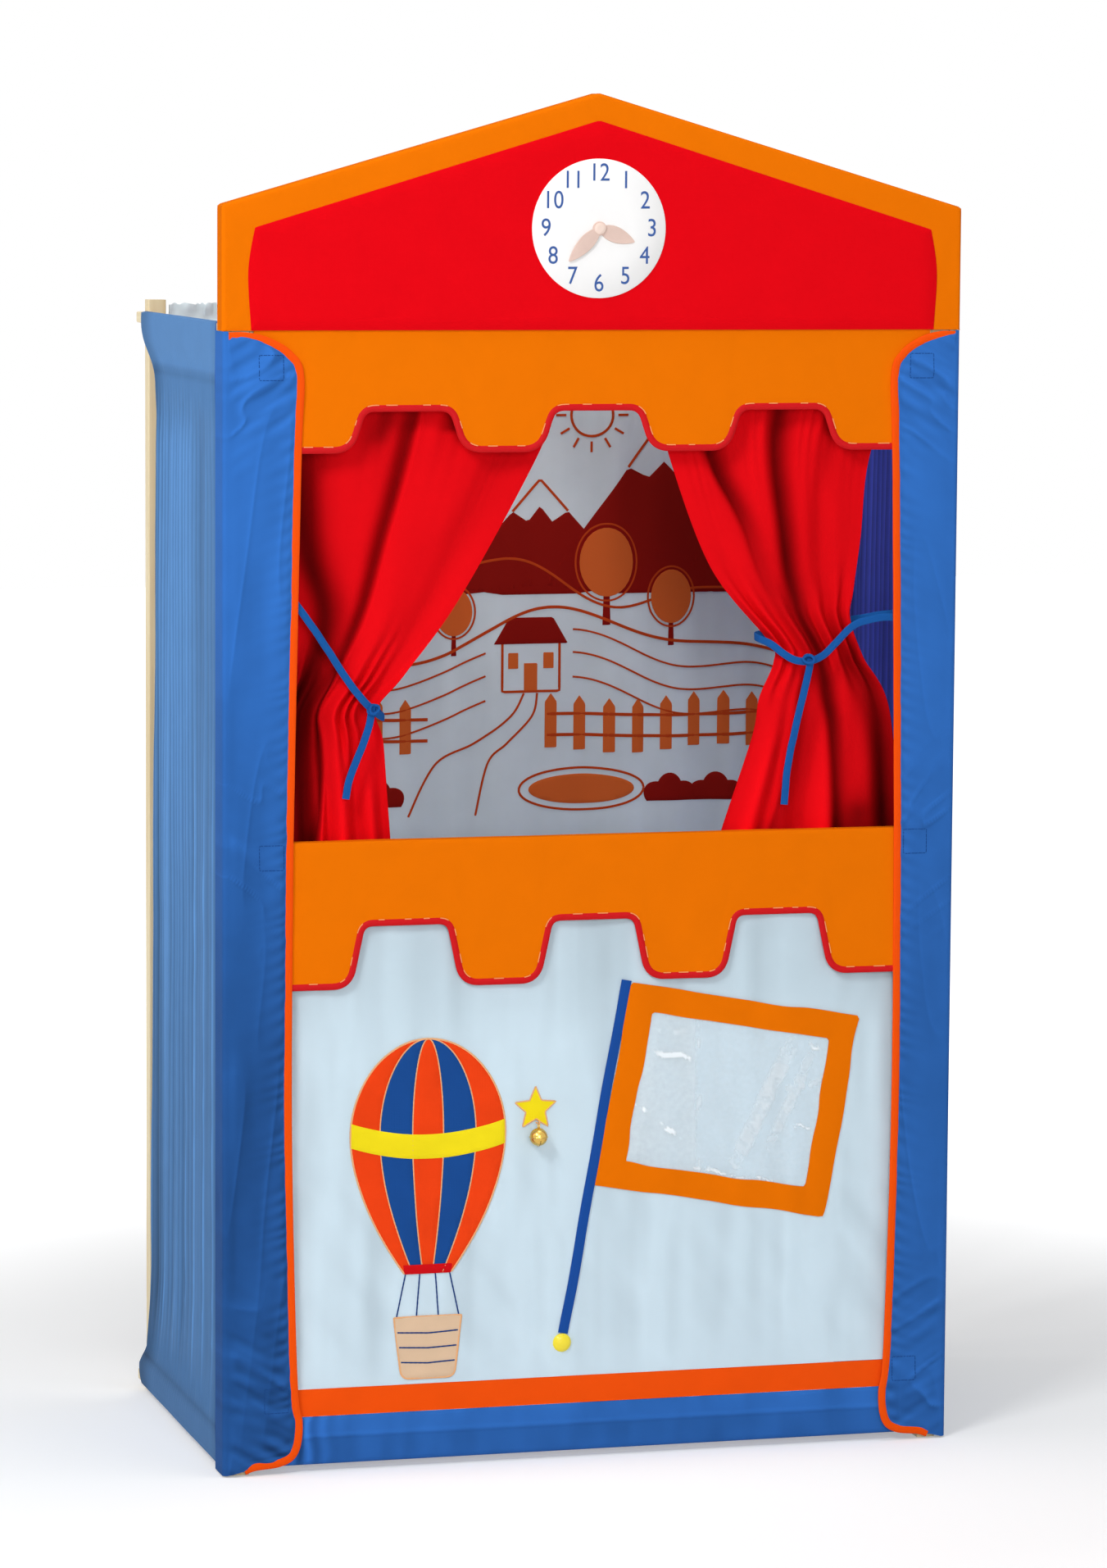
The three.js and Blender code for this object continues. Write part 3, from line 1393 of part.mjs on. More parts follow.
const cover = new THREE.Group();
for (const [side, hand] of [
  [-1, "left"],
  [1, "right"],
]) {
  cover.add(piece(`front_band_${hand}`, frontBand(side), blueCotton));
  cover.add(piece(`band_binding_${hand}`, bandBinding(side), bindingCotton));
  cover.add(piece(`side_cloth_${hand}`, sideCloth(side), blueCotton));
  for (const [level, height] of [
    ["top", topPatchHeight],
    ["middle", middlePatchHeight],
    ["bottom", bottomPatchHeight],
  ])
    cover.add(piece(`hook_patch_${hand}_${level}`, hookPatch(side, height), blueCotton));
}
cover.add(piece("gable_cover", gableCover(), orangeCotton));
cover.add(piece("gable_panel", gableRedPanel(), redFelt));
cover.add(piece("top_valance", topValance(), orangeCotton));
const topPiping = valancePiping(topTabHeight, topNotchHeight);
cover.add(piece("top_valance_piping", topPiping, pipingSatin));
cover.add(piece("counter_cloth", counterCloth(), orangeCotton));
const counterPiping = valancePiping(sillTabHeight, sillNotchHeight);
cover.add(piece("counter_piping", counterPiping, pipingSatin));
const lowerPanelTop = sillHeight - clothWall - gap;
const lowerPanel = flatCloth(tuckHalf, stripeTop + gap, lowerPanelTop, panelFront, clothWall);
cover.add(piece("lower_panel", lowerPanel, paleCotton));
const lowerStripe = flatCloth(tuckHalf, skirtTop, stripeTop, panelFront, clothWall);
cover.add(piece("lower_stripe", lowerStripe, bindingCotton));
cover.add(piece("base_skirt", baseSkirt(), blueCotton));
cover.add(piece("backdrop", backdropCloth(), printedCotton));
stand.add(cover);

const pocket = new THREE.Group();
pocket.position.set(pocketX, 0, pocketZ);
pocket.rotation.y = THREE.MathUtils.degToRad(pocketTilt);
pocket.add(piece("pocket_border", pocketFrame(), orangeCotton));
pocket.add(piece("pocket_window", pocketFilm(), clearFilm));
pocket.add(piece("flag_staff", flagStaff(), blueTape));
const knob = piece("staff_knob", staffKnob(), yellowPlastic);
knob.position.y = panelFront - gap;
pocket.add(knob);
stand.add(pocket);

const clock = new THREE.Group();
clock.add(piece("clock_dial", clockDial(), dialCard));
clock.add(piece("clock_rivet", clockRivet(), handFelt));
for (const [name, length, width, front, degrees] of [
  ["hour_hand", hourHandLength, hourHandWidth, hourFront, hourHandDegrees],
  ["minute_hand", minuteHandLength, minuteHandWidth, minuteFront, minuteHandDegrees],
]) {
  const hand = piece(name, clockHand(length, width, front), handFelt);
  hand.position.z = clockHeight;
  hand.rotation.y = THREE.MathUtils.degToRad(degrees);
  clock.add(hand);
}
stand.add(clock);

const figures = new THREE.Group();
figures.add(piece("applique_balloon", balloonShape(), balloonFelt));
figures.add(piece("applique_basket", basketShape(), basketFelt));
figures.add(piece("applique_star", starShape(), starFelt));
figures.add(piece("bell", bellBody(), brass));
figures.add(piece("bell_pellet", bellPellet(), steel));
figures.add(piece("bell_thread", bellThread(), starFelt));
stand.add(figures);

const curtains = new THREE.Group();
curtains.add(piece("curtain_left", curtain(-1), redCotton));
curtains.add(piece("curtain_right", curtain(1), redCotton));
curtains.add(piece("curtain_loop_left", curtainLoop(-1), redCotton));
curtains.add(piece("curtain_loop_right", curtainLoop(1), redCotton));
curtains.add(piece("tie_left", tape(leftTieShares, turnedZ), blueTape));
curtains.add(piece("tie_left_tail", tape(leftTailShares, turnedX), blueTape));
curtains.add(piece("tie_right", tape(rightTieShares, turnedZ), blueTape));
curtains.add(piece("tie_right_tail", tape(rightTailShares, turnedX), blueTape));
stand.add(curtains);

export default stand;
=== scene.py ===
import math

import bpy
import numpy as np
from mathutils import Matrix, Vector
from mathutils.geometry import delaunay_2d_cdt


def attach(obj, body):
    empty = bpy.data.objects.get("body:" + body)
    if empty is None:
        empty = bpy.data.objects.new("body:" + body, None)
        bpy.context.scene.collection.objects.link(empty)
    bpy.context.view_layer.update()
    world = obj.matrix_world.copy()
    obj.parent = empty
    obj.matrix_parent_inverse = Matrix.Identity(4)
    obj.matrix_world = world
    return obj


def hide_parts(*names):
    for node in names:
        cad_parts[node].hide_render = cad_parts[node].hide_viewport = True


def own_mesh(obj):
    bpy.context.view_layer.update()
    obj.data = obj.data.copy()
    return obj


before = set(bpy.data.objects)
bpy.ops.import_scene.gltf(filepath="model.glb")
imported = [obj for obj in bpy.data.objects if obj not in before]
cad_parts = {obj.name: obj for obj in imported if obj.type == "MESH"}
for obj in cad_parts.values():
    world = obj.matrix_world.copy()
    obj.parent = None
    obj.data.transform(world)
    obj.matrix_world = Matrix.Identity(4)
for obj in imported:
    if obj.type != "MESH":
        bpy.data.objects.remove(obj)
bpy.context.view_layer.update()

millimetre = 0.001
turn = 2 * math.pi
middleY = 215.85  # from the front of the posts back to the frame's origin
halfWidth = 401  # half the cover's width
coverTop = 1201  # the gable's foot
sillHeight = 669
postInner = 371.2  # the curtains' outer edge at the posts
tuckHalf = 368  # half the width of a cloth whose sides are tucked behind the bands

# Camera: its place in metres, its angles and its lens
cameraPlace = (-1.625, -5.9435, 1.3772)
yaw, pitch, roll = -0.2694, -0.1095, 0.0064
cameraLens = 130.2

ahead = Vector((-math.sin(yaw) * math.cos(pitch), math.cos(yaw) * math.cos(pitch), math.sin(pitch)))
level = Vector((math.cos(yaw), math.sin(yaw), 0))
upright = level.cross(ahead)
rightward = math.cos(roll) * level + math.sin(roll) * upright
upward = -math.sin(roll) * level + math.cos(roll) * upright
cameraData = bpy.data.cameras.new("camera")
cameraData.lens = cameraLens
cameraData.sensor_width = 36
camera = bpy.data.objects.new("camera", cameraData)
bpy.context.scene.collection.objects.link(camera)
axes = Matrix((rightward, upward, -ahead)).transposed()
camera.matrix_world = Matrix.Translation(cameraPlace) @ axes.to_4x4()
bpy.context.scene.camera = camera


# Numbers and lines


# To the frame's metres, with Y counted from the frame's origin.
def toMetres(points):
    return (np.asarray(points, float) - [0, middleY, 0]) * millimetre


# Three coordinates as one array of points.
def pointsOf(x, y, z):
    return np.stack(np.broadcast_arrays(x, y, z), -1)


# From 0 at the start to 1 at the end, with level ends.
def smooth(start, end, value):
    t = np.clip((np.asarray(value, float) - start) / (end - start), 0, 1)
    return t * t * (3 - 2 * t)


# A hump: 1 at its middle, about a third at one width from it and next to nothing beyond two.
def hump(value, middle, width):
    return np.exp(-(((value - middle) / width) ** 2))


# Random hills: a seeded table of heights between -1 and 1, joined smoothly over a grid of that size.
def noise(a, b, size, seed, stretch=1.0):
    tableSide = 64
    table = np.random.default_rng(seed).uniform(-1, 1, (tableSide, tableSide))
    a, b = np.broadcast_arrays(np.asarray(a, float) / size, np.asarray(b, float) / (size * stretch))
    i, j = np.floor(a).astype(int), np.floor(b).astype(int)
    s, t = a - i, b - j
    s, t = s**3 * (s * (6 * s - 15) + 10), t**3 * (t * (6 * t - 15) + 10)
    i, j, k, m = i % tableSide, j % tableSide, (i + 1) % tableSide, (j + 1) % tableSide
    low = table[i, j] * (1 - s) + table[k, j] * s
    return low * (1 - t) + (table[i, m] * (1 - s) + table[k, m] * s) * t


# Sharp little ridges where random hills cross nought, as cloth creases.
def creases(a, b, size, seed, stretch=1.0):
    return np.exp(-5 * np.abs(noise(a, b, size, seed, stretch)))


# A smooth line through points, with its ends held as the CAD's own curves hold them.
def splineThrough(points, count):
    p = np.asarray(points, float)
    p = np.vstack([p[:1], p, p[-1:]])
    t = np.linspace(0, len(points) - 1, count)
    k = np.minimum(t.astype(int), len(points) - 2)
    f = (t - k)[:, None]
    a, b, c, d = p[k], p[k + 1], p[k + 2], p[k + 3]
    return 0.5 * (2 * b + (c - a) * f + (2 * a - 5 * b + 4 * c - d) * f**2 + (3 * b - a - 3 * c + d) * f**3)


# Steps added up from nought.
def addedUp(steps):
    return np.concatenate([[0], np.cumsum(steps)])


# How far each point lies along the line: its steps' lengths added up.
def lengths(line):
    return addedUp(np.linalg.norm(np.diff(line, axis=0), axis=1))


# The same line as a number of points at even steps along it.
def evenly(line, count):
    line = np.asarray(line, float)
    run = lengths(line)
    at = np.linspace(0, run[-1], count)
    return np.stack([np.interp(at, run, line[:, k]) for k in range(line.shape[1])], 1)


# A closed outline through corners, as points at even steps without the last one again.
def closedEvenly(corners, count):
    corners = np.asarray(corners, float)
    return evenly(np.vstack([corners, corners[:1]]), count)[:-1]


# A value between knots (place, value), smooth between them.
def through(knots, at):
    curve = splineThrough(knots, 200)
    return np.interp(at, curve[:, 0], curve[:, 1])


# Straight stretches whose inner corners are rounded with a quadratic curve.
def roundedLine(corners, radius, steps=8):
    corners = np.asarray(corners, float)
    line = [corners[:1]]
    for before, corner, after in zip(corners[:-2], corners[1:-1], corners[2:]):
        start = corner + (before - corner) * min(0.5, radius / np.linalg.norm(before - corner))
        end = corner + (after - corner) * min(0.5, radius / np.linalg.norm(after - corner))
        t = np.linspace(0, 1, steps + 1)[:, None]
        line.append(start * (1 - t) ** 2 + corner * 2 * t * (1 - t) + end * t**2)
    line.append(corners[-1:])
    return np.vstack(line)


# The direction of a flat line at each point, a quarter turn clockwise from where it runs.
def rightOf(line):
    along = np.gradient(line, axis=0)
    along /= np.linalg.norm(along, axis=1, keepdims=True)
    return np.stack([along[:, 1], -along[:, 0]], 1)


# Meshes. A shell is a closed surface: its points, its faces and a UV place for each point, or None
# where the UV is the place in the front view.


# Quads between the rings of a tube, and the rings' own indices.
def ringFaces(count, sides):
    index = np.arange(count * sides).reshape(count, sides)
    after = np.roll(index, -1, axis=1)
    return index, np.stack([index[:-1], index[1:], after[1:], after[:-1]], -1).reshape(-1, 4)


# A tube's faces with both of its ends closed.
def closedTube(count, sides):
    index, quads = ringFaces(count, sides)
    return quads.tolist() + [index[0].tolist(), index[-1][::-1].tolist()]


# A grid of points as a closed cloth: its faces lie half the wall away on both sides, along the cross
# product of the grid's two directions.
def clothShell(grid, wall):
    rows, columns = grid.shape[:2]
    normal = np.cross(np.gradient(grid, axis=1), np.gradient(grid, axis=0))
    normal /= np.linalg.norm(normal, axis=2, keepdims=True) + 1e-12
    index = np.arange(rows * columns).reshape(rows, columns)
    quads = np.stack([index[:-1, :-1], index[:-1, 1:], index[1:, 1:], index[1:, :-1]], -1).reshape(-1, 4)
    border = np.concatenate([index[0], index[1:, -1], index[-1, -2::-1], index[-2::-1, 0]])
    start, end, count = border[:-1], border[1:], rows * columns
    rim = np.stack([end, start, start + count, end + count], 1)
    faces = np.concatenate([quads, quads[:, ::-1] + count, rim])
    points = np.concatenate([grid + normal * wall / 2, grid - normal * wall / 2]).reshape(-1, 3)
    across = addedUp(np.linalg.norm(np.diff(grid, axis=1), axis=2).mean(0))
    down = addedUp(np.linalg.norm(np.diff(grid, axis=0), axis=2).mean(1))
    flat = np.stack(np.meshgrid(across, -down), -1).reshape(-1, 2) * millimetre
    return points, faces.tolist(), np.concatenate([flat, flat])


# A closed section run along a line; its second direction stays near up, and the ends are closed.
def sweepShell(line, section, up):
    line, section = np.asarray(line, float), np.asarray(section, float)
    tangent = np.gradient(line, axis=0)
    tangent /= np.linalg.norm(tangent, axis=1, keepdims=True)
    up = np.broadcast_to(np.asarray(up, float), tangent.shape)
    high = up - tangent * np.sum(tangent * up, axis=1, keepdims=True)
    high /= np.linalg.norm(high, axis=1, keepdims=True)
    across = np.cross(tangent, high)
    if section.ndim == 2:
        section = np.broadcast_to(section, (len(line), *section.shape))
    rings = line[:, None] + section[..., :1] * across[:, None] + section[..., 1:] * high[:, None]
    count, sides = rings.shape[:2]
    uv = np.stack(np.meshgrid(np.arange(sides) / sides, lengths(line) * millimetre), -1)[..., ::-1]
    return rings.reshape(-1, 3), closedTube(count, sides), uv.reshape(-1, 2)


# An oval section; above 2 the squareness pushes it out towards a rectangle.
def roundSection(halfAcross, halfHigh, sides=12, squareness=2.0):
    angle = turn * (np.arange(sides) + 0.5) / sides
    oval = np.stack([np.cos(angle), np.sin(angle)], 1)
    return np.sign(oval) * np.abs(oval) ** (2 / squareness) * [halfAcross, halfHigh]


# A profile (radius, depth) turned about a line that runs back through the middle (x, z).
def turnedShell(middle, profile, sides):
    angle = np.linspace(0, turn, sides + 1)[:-1]
    radius, depth = np.asarray(profile, float).T[:, :, None]
    rings = pointsOf(middle[0] + radius * np.cos(angle), depth, middle[1] + radius * np.sin(angle))
    return rings.reshape(-1, 3), closedTube(len(rings), sides), None


# A flat shape sewn on a surface: its outline and an inner lattice are joined into triangles, which
# lie where place(x, z, lift) says, with a rounded rim and a back face behind them.
def sewnShell(outline, place, wall, spacing=6.0, rim=0.8):
    outline = np.asarray(outline, float)
    after = np.roll(outline, -1, axis=0)
    if np.sum(outline[:, 0] * after[:, 1] - after[:, 0] * outline[:, 1]) < 0:
        outline = outline[::-1]
    low, high = outline.min(0), outline.max(0)
    across, upwards = np.arange(low[0], high[0], spacing), np.arange(low[1], high[1], spacing)
    lattice = np.stack(np.meshgrid(across, upwards), -1).reshape(-1, 2)
    away = np.linalg.norm(lattice[:, None] - outline[None], axis=2).min(1)
    lattice = lattice[away > spacing * 0.45]
    along = np.roll(outline, -1, axis=0) - np.roll(outline, 1, axis=0)
    along /= np.linalg.norm(along, axis=1, keepdims=True)
    inner = outline + np.stack([-along[:, 1], along[:, 0]], 1) * rim
    count = len(outline)
    ring = [(i, (i + 1) % count) for i in range(count)]
    inside = [Vector(p) for p in np.vstack([inner, lattice])]
    found = delaunay_2d_cdt(inside, ring, [list(range(count))], 1, 1e-5)
    flat = np.array([[v.x, v.y] for v in found[0]])
    faces = [list(face) for face in found[2]]
    edge = [None] * count
    for new, olds in enumerate(found[3]):
        for old in olds:
            if old < count:
                edge[old] = new
    total = len(flat)
    front = place(flat[:, 0], flat[:, 1], wall)
    side = place(outline[:, 0], outline[:, 1], wall * 0.45)
    back = place(flat[:, 0], flat[:, 1], 0.0)
    under = [[total + count + i for i in face[::-1]] for face in faces]
    # In X and Z an anticlockwise face looks towards -Y, out of the front.
    for i, k in ring:
        if edge[i] is None or edge[k] is None or edge[i] == edge[k]:
            continue
        faces.append([edge[k], edge[i], total + i, total + k])
        faces.append([total + k, total + i, total + count + edge[i], total + count + edge[k]])
    uv = np.vstack([flat, outline, flat]) * millimetre
    return np.vstack([front, side, back]), faces + under, uv


# A value at each point for the materials to read; the values of one face of a cloth do for both.
def paint(piece, name, values):
    values = np.asarray(values, float).ravel()
    layers = len(piece.data.vertices) // len(values)
    piece.data.attributes.new(name, "FLOAT", "POINT").data.foreach_set("value", np.tile(values, layers))


# A finished piece of one or more shells: its material, its name, the nodes that it stands for, its body,
# and its painted shade at each point, darker as at the bottom of folds and lighter where it is below nought.
def makePiece(name, shells, material, nodes=(), body="root", dark=None):
    points, faces, uvs, start = [], [], [], 0
    for shellPoints, shellFaces, uv in shells:
        points.append(shellPoints)
        uvs.append(shellPoints[:, [0, 2]] * millimetre if uv is None else uv)
        faces.extend([[corner + start for corner in face] for face in shellFaces])
        start += len(shellPoints)
    mesh = bpy.data.meshes.new(name)
    mesh.from_pydata(toMetres(np.vstack(points)).tolist(), [], faces)
    corners = np.empty(len(mesh.loops), np.int32)
    mesh.loops.foreach_get("vertex_index", corners)
    layer = mesh.uv_layers.new(name="UVMap")
    layer.data.foreach_set("uv", np.vstack(uvs)[corners].ravel())
    mesh.polygons.foreach_set("use_smooth", np.ones(len(mesh.polygons), bool))
    mesh.set_sharp_from_angle(angle=math.radians(46))
    piece = bpy.data.objects.new(name, mesh)
    bpy.context.scene.collection.objects.link(piece)
    if dark is not None:
        paint(piece, "dark", dark)
    piece.data.materials.append(material)
    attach(piece, body)
    if nodes:
        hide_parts(*nodes)
    return piece


print("helpers ready")


# Materials


# Constants put on a node's own sockets.
def setSockets(node, values):
    for socket, value in values.items():
        node.inputs[socket].default_value = value


# A shader node with its settings and its sockets' constants.
def addNode(tree, kind, values=None, **settings):
    node = tree.nodes.new("ShaderNode" + kind)
    for setting, value in settings.items():
        setattr(node, setting, value)
    setSockets(node, values or {})
    return node


# One node's output joined to another's socket.
def link(source, output, target, socket):
    source.id_data.links.new(source.outputs[output], target.inputs[socket])


# A material with its colour and roughness, its tree and its shader.
def newMaterial(name, color, roughness, more):
    material = bpy.data.materials.new(name)
    material.use_nodes = True
    material.diffuse_color = (*color, 1)
    shader = material.node_tree.nodes["Principled BSDF"]
    setSockets(shader, {"Base Color": (*color, 1), "Roughness": roughness, **more})
    return material, material.node_tree, shader


# A colour as it looks on a screen, made linear.
def screen(text):
    parts = [int(text[i : i + 2], 16) / 255 for i in (1, 3, 5)]
    return [c / 12.92 if c <= 0.04045 else ((c + 0.055) / 1.055) ** 2.4 for c in parts]


# Woven cloth on the UV map: crossed threads as bump, a faint mottle of the dye and a soft nap. The
# attribute "dark" is painted shade: it takes the colour down in hollows and shaded parts, and where it is
# below nought it paints the colour lighter as painted light. Where "lining" is 1 the cloth has its inside
# colour.
def clothMaterial(
    name, dye, thread=0.0007, mottle=0.05, nap=0.05, roughness=0.85, relief=0.25, shine=0.08, inside=None
):
    color = screen(dye)
    tint = (*[min(1, c * 0.6 + 0.4) for c in color], 1)
    soft = {"Sheen Weight": nap, "Sheen Roughness": 0.5, "Sheen Tint": tint}
    material, tree, shader = newMaterial(name, color, roughness, {"Specular IOR Level": shine, **soft})
    place = addNode(tree, "UVMap")
    weave = addNode(tree, "Math", operation="MULTIPLY")
    for entry, axis in enumerate(("X", "Y")):
        waves = {"Scale": 0.314 / thread, "Distortion": 0.6, "Detail Scale": 3}
        wave = addNode(tree, "TexWave", waves, bands_direction=axis)
        link(place, "UV", wave, "Vector")
        link(wave, "Fac", weave, entry)
    bump = addNode(tree, "Bump", {"Strength": relief, "Distance": thread * 0.4})
    link(weave, "Value", bump, "Height")
    link(bump, "Normal", shader, "Normal")
    cloud = addNode(tree, "TexNoise", {"Scale": 22, "Detail": 5})
    link(place, "UV", cloud, "Vector")
    spread = {"From Min": 0.3, "From Max": 0.7, "To Min": 1 - mottle, "To Max": 1 + mottle}
    ramp = addNode(tree, "MapRange", spread)
    link(cloud, "Fac", ramp, "Value")
    # The attribute "dark", painted shade and painted light, is taken off the colour's value.
    paintedShadeInput = addNode(tree, "Attribute", attribute_name="dark")
    value = addNode(tree, "Math", operation="SUBTRACT")
    link(ramp, "Result", value, 0)
    link(paintedShadeInput, "Fac", value, 1)
    shade = addNode(tree, "HueSaturation", {"Color": (*color, 1)})
    link(value, "Value", shade, "Value")
    link(shade, "Color", shader, "Base Color")
    if inside:
        lining = addNode(tree, "Attribute", attribute_name="lining")
        blend = addNode(tree, "Mix", {6: (*color, 1), 7: (*screen(inside), 1)}, data_type="RGBA")
        link(lining, "Fac", blend, 0)
        link(blend, 2, shade, "Color")
    return material


# Pine: the grain is a noise stretched along one axis, light and dark rings with fine pores on top.
def pineMaterial(name, axis):
    light, dark = screen("#F3E3BC"), screen("#DFC694")
    material, tree, shader = newMaterial(name, light, 0.5, {})
    place = addNode(tree, "TexCoord")
    scale = [60.0, 60.0, 60.0]
    scale[axis] = 2.5
    stretch = addNode(tree, "Mapping", {"Scale": scale})
    link(place, "Object", stretch, "Vector")
    rings = addNode(tree, "TexNoise", {"Scale": 1.4, "Detail": 3, "Distortion": 0.4})
    pores = addNode(tree, "TexNoise", {"Scale": 14, "Detail": 2})
    link(stretch, "Vector", rings, "Vector")
    link(stretch, "Vector", pores, "Vector")
    ramp = addNode(tree, "ValToRGB")
    for stop, position, color in zip(ramp.color_ramp.elements, (0.35, 0.75), (light, dark)):
        stop.position = position
        stop.color = (*color, 1)
    link(rings, "Fac", ramp, "Fac")
    link(ramp, "Color", shader, "Base Color")
    bump = addNode(tree, "Bump", {"Strength": 0.15, "Distance": 0.0003})
    link(pores, "Fac", bump, "Height")
    link(bump, "Normal", shader, "Normal")
    return material


# A smooth finish with a faint change of shine over it, from the object's own coordinates.
def plainMaterial(name, paintColor, roughness, metallic=0.0, coat=0.0, shine=0.5):
    change = 0.08
    more = {"Metallic": metallic, "Specular IOR Level": shine, "Coat Weight": coat}
    material, tree, shader = newMaterial(name, screen(paintColor), roughness, more)
    place = addNode(tree, "TexCoord")
    cloud = addNode(tree, "TexNoise", {"Scale": 300, "Detail": 3})
    link(place, "Object", cloud, "Vector")
    ramp = addNode(tree, "MapRange", {"To Min": max(0.02, roughness - change), "To Max": roughness + change})
    link(cloud, "Fac", ramp, "Value")
    link(ramp, "Result", shader, "Roughness")
    return material


# Clear film: mostly see-through, and milky white where painted highlights stand for its creases catching the
# light.
def filmMaterial(name):
    coat = {"Coat Weight": 0.5, "Coat Roughness": 0.05}
    material, tree, shader = newMaterial(name, screen("#F1FAFF"), 0.15, coat)
    hazeAndGlint = addNode(tree, "Attribute", attribute_name="hazeAndGlint")
    place = addNode(tree, "UVMap")
    cloud = addNode(tree, "TexNoise", {"Scale": 160, "Detail": 3})
    link(place, "UV", cloud, "Vector")
    grain = addNode(tree, "MapRange", {"To Min": 0.02, "To Max": 0.16})
    link(cloud, "Fac", grain, "Value")
    total = addNode(tree, "Math", operation="ADD", use_clamp=True)
    link(hazeAndGlint, "Fac", total, 0)
    link(grain, "Result", total, 1)
    link(total, "Value", shader, "Alpha")
    return material


blueCotton = clothMaterial("blue cotton", "#2E68B6", mottle=0.04)
# The same blue cotton as the bands, painted lighter and greyer as painted light for the sides' stronger
# light.
sideCottonPaintedLighter = clothMaterial("blue side cotton", "#5784B8", mottle=0.03, inside="#5060D2")
orangeCotton = clothMaterial("orange cotton", "#EB7303", mottle=0.015, shine=0.02, nap=0)
bindingCotton = clothMaterial("binding cotton", "#F4520A", mottle=0.03, shine=0.05)
redFelt = clothMaterial("red felt", "#E20714", mottle=0.015, thread=0.0012, shine=0.02, nap=0)
redCotton = clothMaterial("red cotton", "#E40A14", mottle=0.02, shine=0.03, nap=0)
paleCotton = clothMaterial("pale cotton", "#CFE3EE", mottle=0.015, relief=0.4)
printedCotton = clothMaterial("printed cotton", "#DCE8EC", mottle=0.03)
pipingSatin = clothMaterial("piping satin", "#CC0E16", mottle=0.04, roughness=0.5, shine=0.12)
tapeCotton = clothMaterial("blue tape", "#1A5CA8", mottle=0.08, thread=0.0009, relief=0.6)
staffCotton = clothMaterial("staff tape", "#1A4C9C", mottle=0.04, thread=0.0009)
feltRed = clothMaterial("orange red felt", "#EE4210", thread=0.0013)
feltNavy = clothMaterial("navy felt", "#184A90", thread=0.0013)
feltYellow = clothMaterial("yellow felt", "#F5DF1A", mottle=0.04, thread=0.0013)
feltBeige = clothMaterial("beige felt", "#DFC0A0", thread=0.0013)
feltCrimson = clothMaterial("crimson felt", "#D00C14", thread=0.0013)
handFelt = clothMaterial("hand felt", "#E2C6BA", mottle=0.08, thread=0.0009)
darkThread = plainMaterial("dark thread", "#1B4585", 0.8, shine=0.1)
orangeThread = plainMaterial("orange thread", "#F29A60", 0.7, shine=0.1)
beigeThread = plainMaterial("beige thread", "#E8AE7C", 0.7, shine=0.1)
navyThread = plainMaterial("navy thread", "#123A78", 0.7, shine=0.1)
printLine = plainMaterial("print line", "#C1441A", 0.85, shine=0.05)
printFill = plainMaterial("print fill", "#8E150F", 0.85, shine=0.05)
printLeaf = plainMaterial("print leaf", "#D9662E", 0.85, shine=0.05)
dialCard = plainMaterial("dial card", "#F6F5F4", 0.6, shine=0.1)
numeralInk = plainMaterial("numeral ink", "#3E5FA0", 0.7, shine=0.1)
knobYellow = plainMaterial("knob yellow", "#F6E11E", 0.35, coat=0.3)
hookNylon = plainMaterial("hook nylon", "#22508F", 0.8)
rivetPlastic = plainMaterial("rivet plastic", "#EBD3C6", 0.5)
brass = plainMaterial("brass", "#D9B45C", 0.25, metallic=1.0)
steel = plainMaterial("steel", "#B9BCC0", 0.3, metallic=1.0)
clearFilm = filmMaterial("clear film")
pineUp = pineMaterial("pine upright", 2)
pineAcross = pineMaterial("pine across", 0)
pineDeep = pineMaterial("pine deep", 1)
print("materials ready")


# Curtain ties: flat tape along the CAD's routes
tieWidth, tieWall = 8, 2
tieRoutes = {
    "tie_left": [
        (-386, -1.5, 976), (-369, -1.5, 968), (-354, -2.2, 955), (-341, -2.8, 941), (-326, -2.6, 922),
        (-309, -1.5, 900), (-290, 1.2, 873), (-270, 3.4, 843), (-250, 5.2, 817), (-235, 7.6, 803),
        (-226, 13, 797), (-223.5, 20, 797), (-226.5, 27, 800), (-237, 33.5, 810), (-262, 37, 838),
        (-290, 37, 870), (-320, 33, 893), (-350, 26, 903), (-366, 21, 906),
    ],
    "tie_left_tail": [
        (-240, 4.2, 809), (-240.5, 4, 801), (-243, 3.2, 789), (-250, 1.4, 770), (-259, 0.4, 748),
        (-265, 1.2, 730), (-268, 2, 713),
    ],
    "tie_right": [
        (386, -1.5, 889), (369, -1.6, 890), (352, -2.7, 892), (338, -2.7, 894), (322, -1.5, 895),
        (304, 1.5, 892), (288, 3, 886), (270, 3.4, 869), (255, 3.2, 855), (240, 3, 849),
        (225, 3.6, 850), (211, 5.8, 857), (200, 10, 866), (191.5, 16, 871), (187.5, 23, 873),
        (188, 31, 875), (208, 38, 877), (245, 39, 880), (272, 38, 884), (300, 34, 890),
        (335, 27, 896), (366, 21, 899),
    ],
    "tie_right_tail": [
        (240, 0.6, 851), (238.5, 0.3, 841), (235, -0.6, 826), (228, -1.4, 800), (221, -0.8, 768),
        (215, 0, 732), (212, 0.8, 696),
    ],
}
# Knots: the middle, and each loop's half width, half height, half depth and tilt
tieKnots = {
    "tie_left": ((-238, 3.6, 806), [((6, 3.4, 3), 0.5), ((4.5, 4.4, 3.4), -0.9)]),
    "tie_right": ((238, 0.4, 851), [((6, 3.4, 3), 0.1), ((4.4, 4.6, 3.2), 1.2)]),
}


# The tape's middle line follows its route with a faint wave along up, as a soft tape does.
def tieLine(route, up, seed):
    sway, calm, hill = 0.35, 20, 14
    line = evenly(splineThrough(route, 400), 160)
    run = lengths(line)
    ends = np.minimum(1, np.minimum(run, run[-1] - run) / calm)
    wave = sway * ends * noise(run, 0, hill, seed)
    return line + np.asarray(up, float) * wave[:, None]


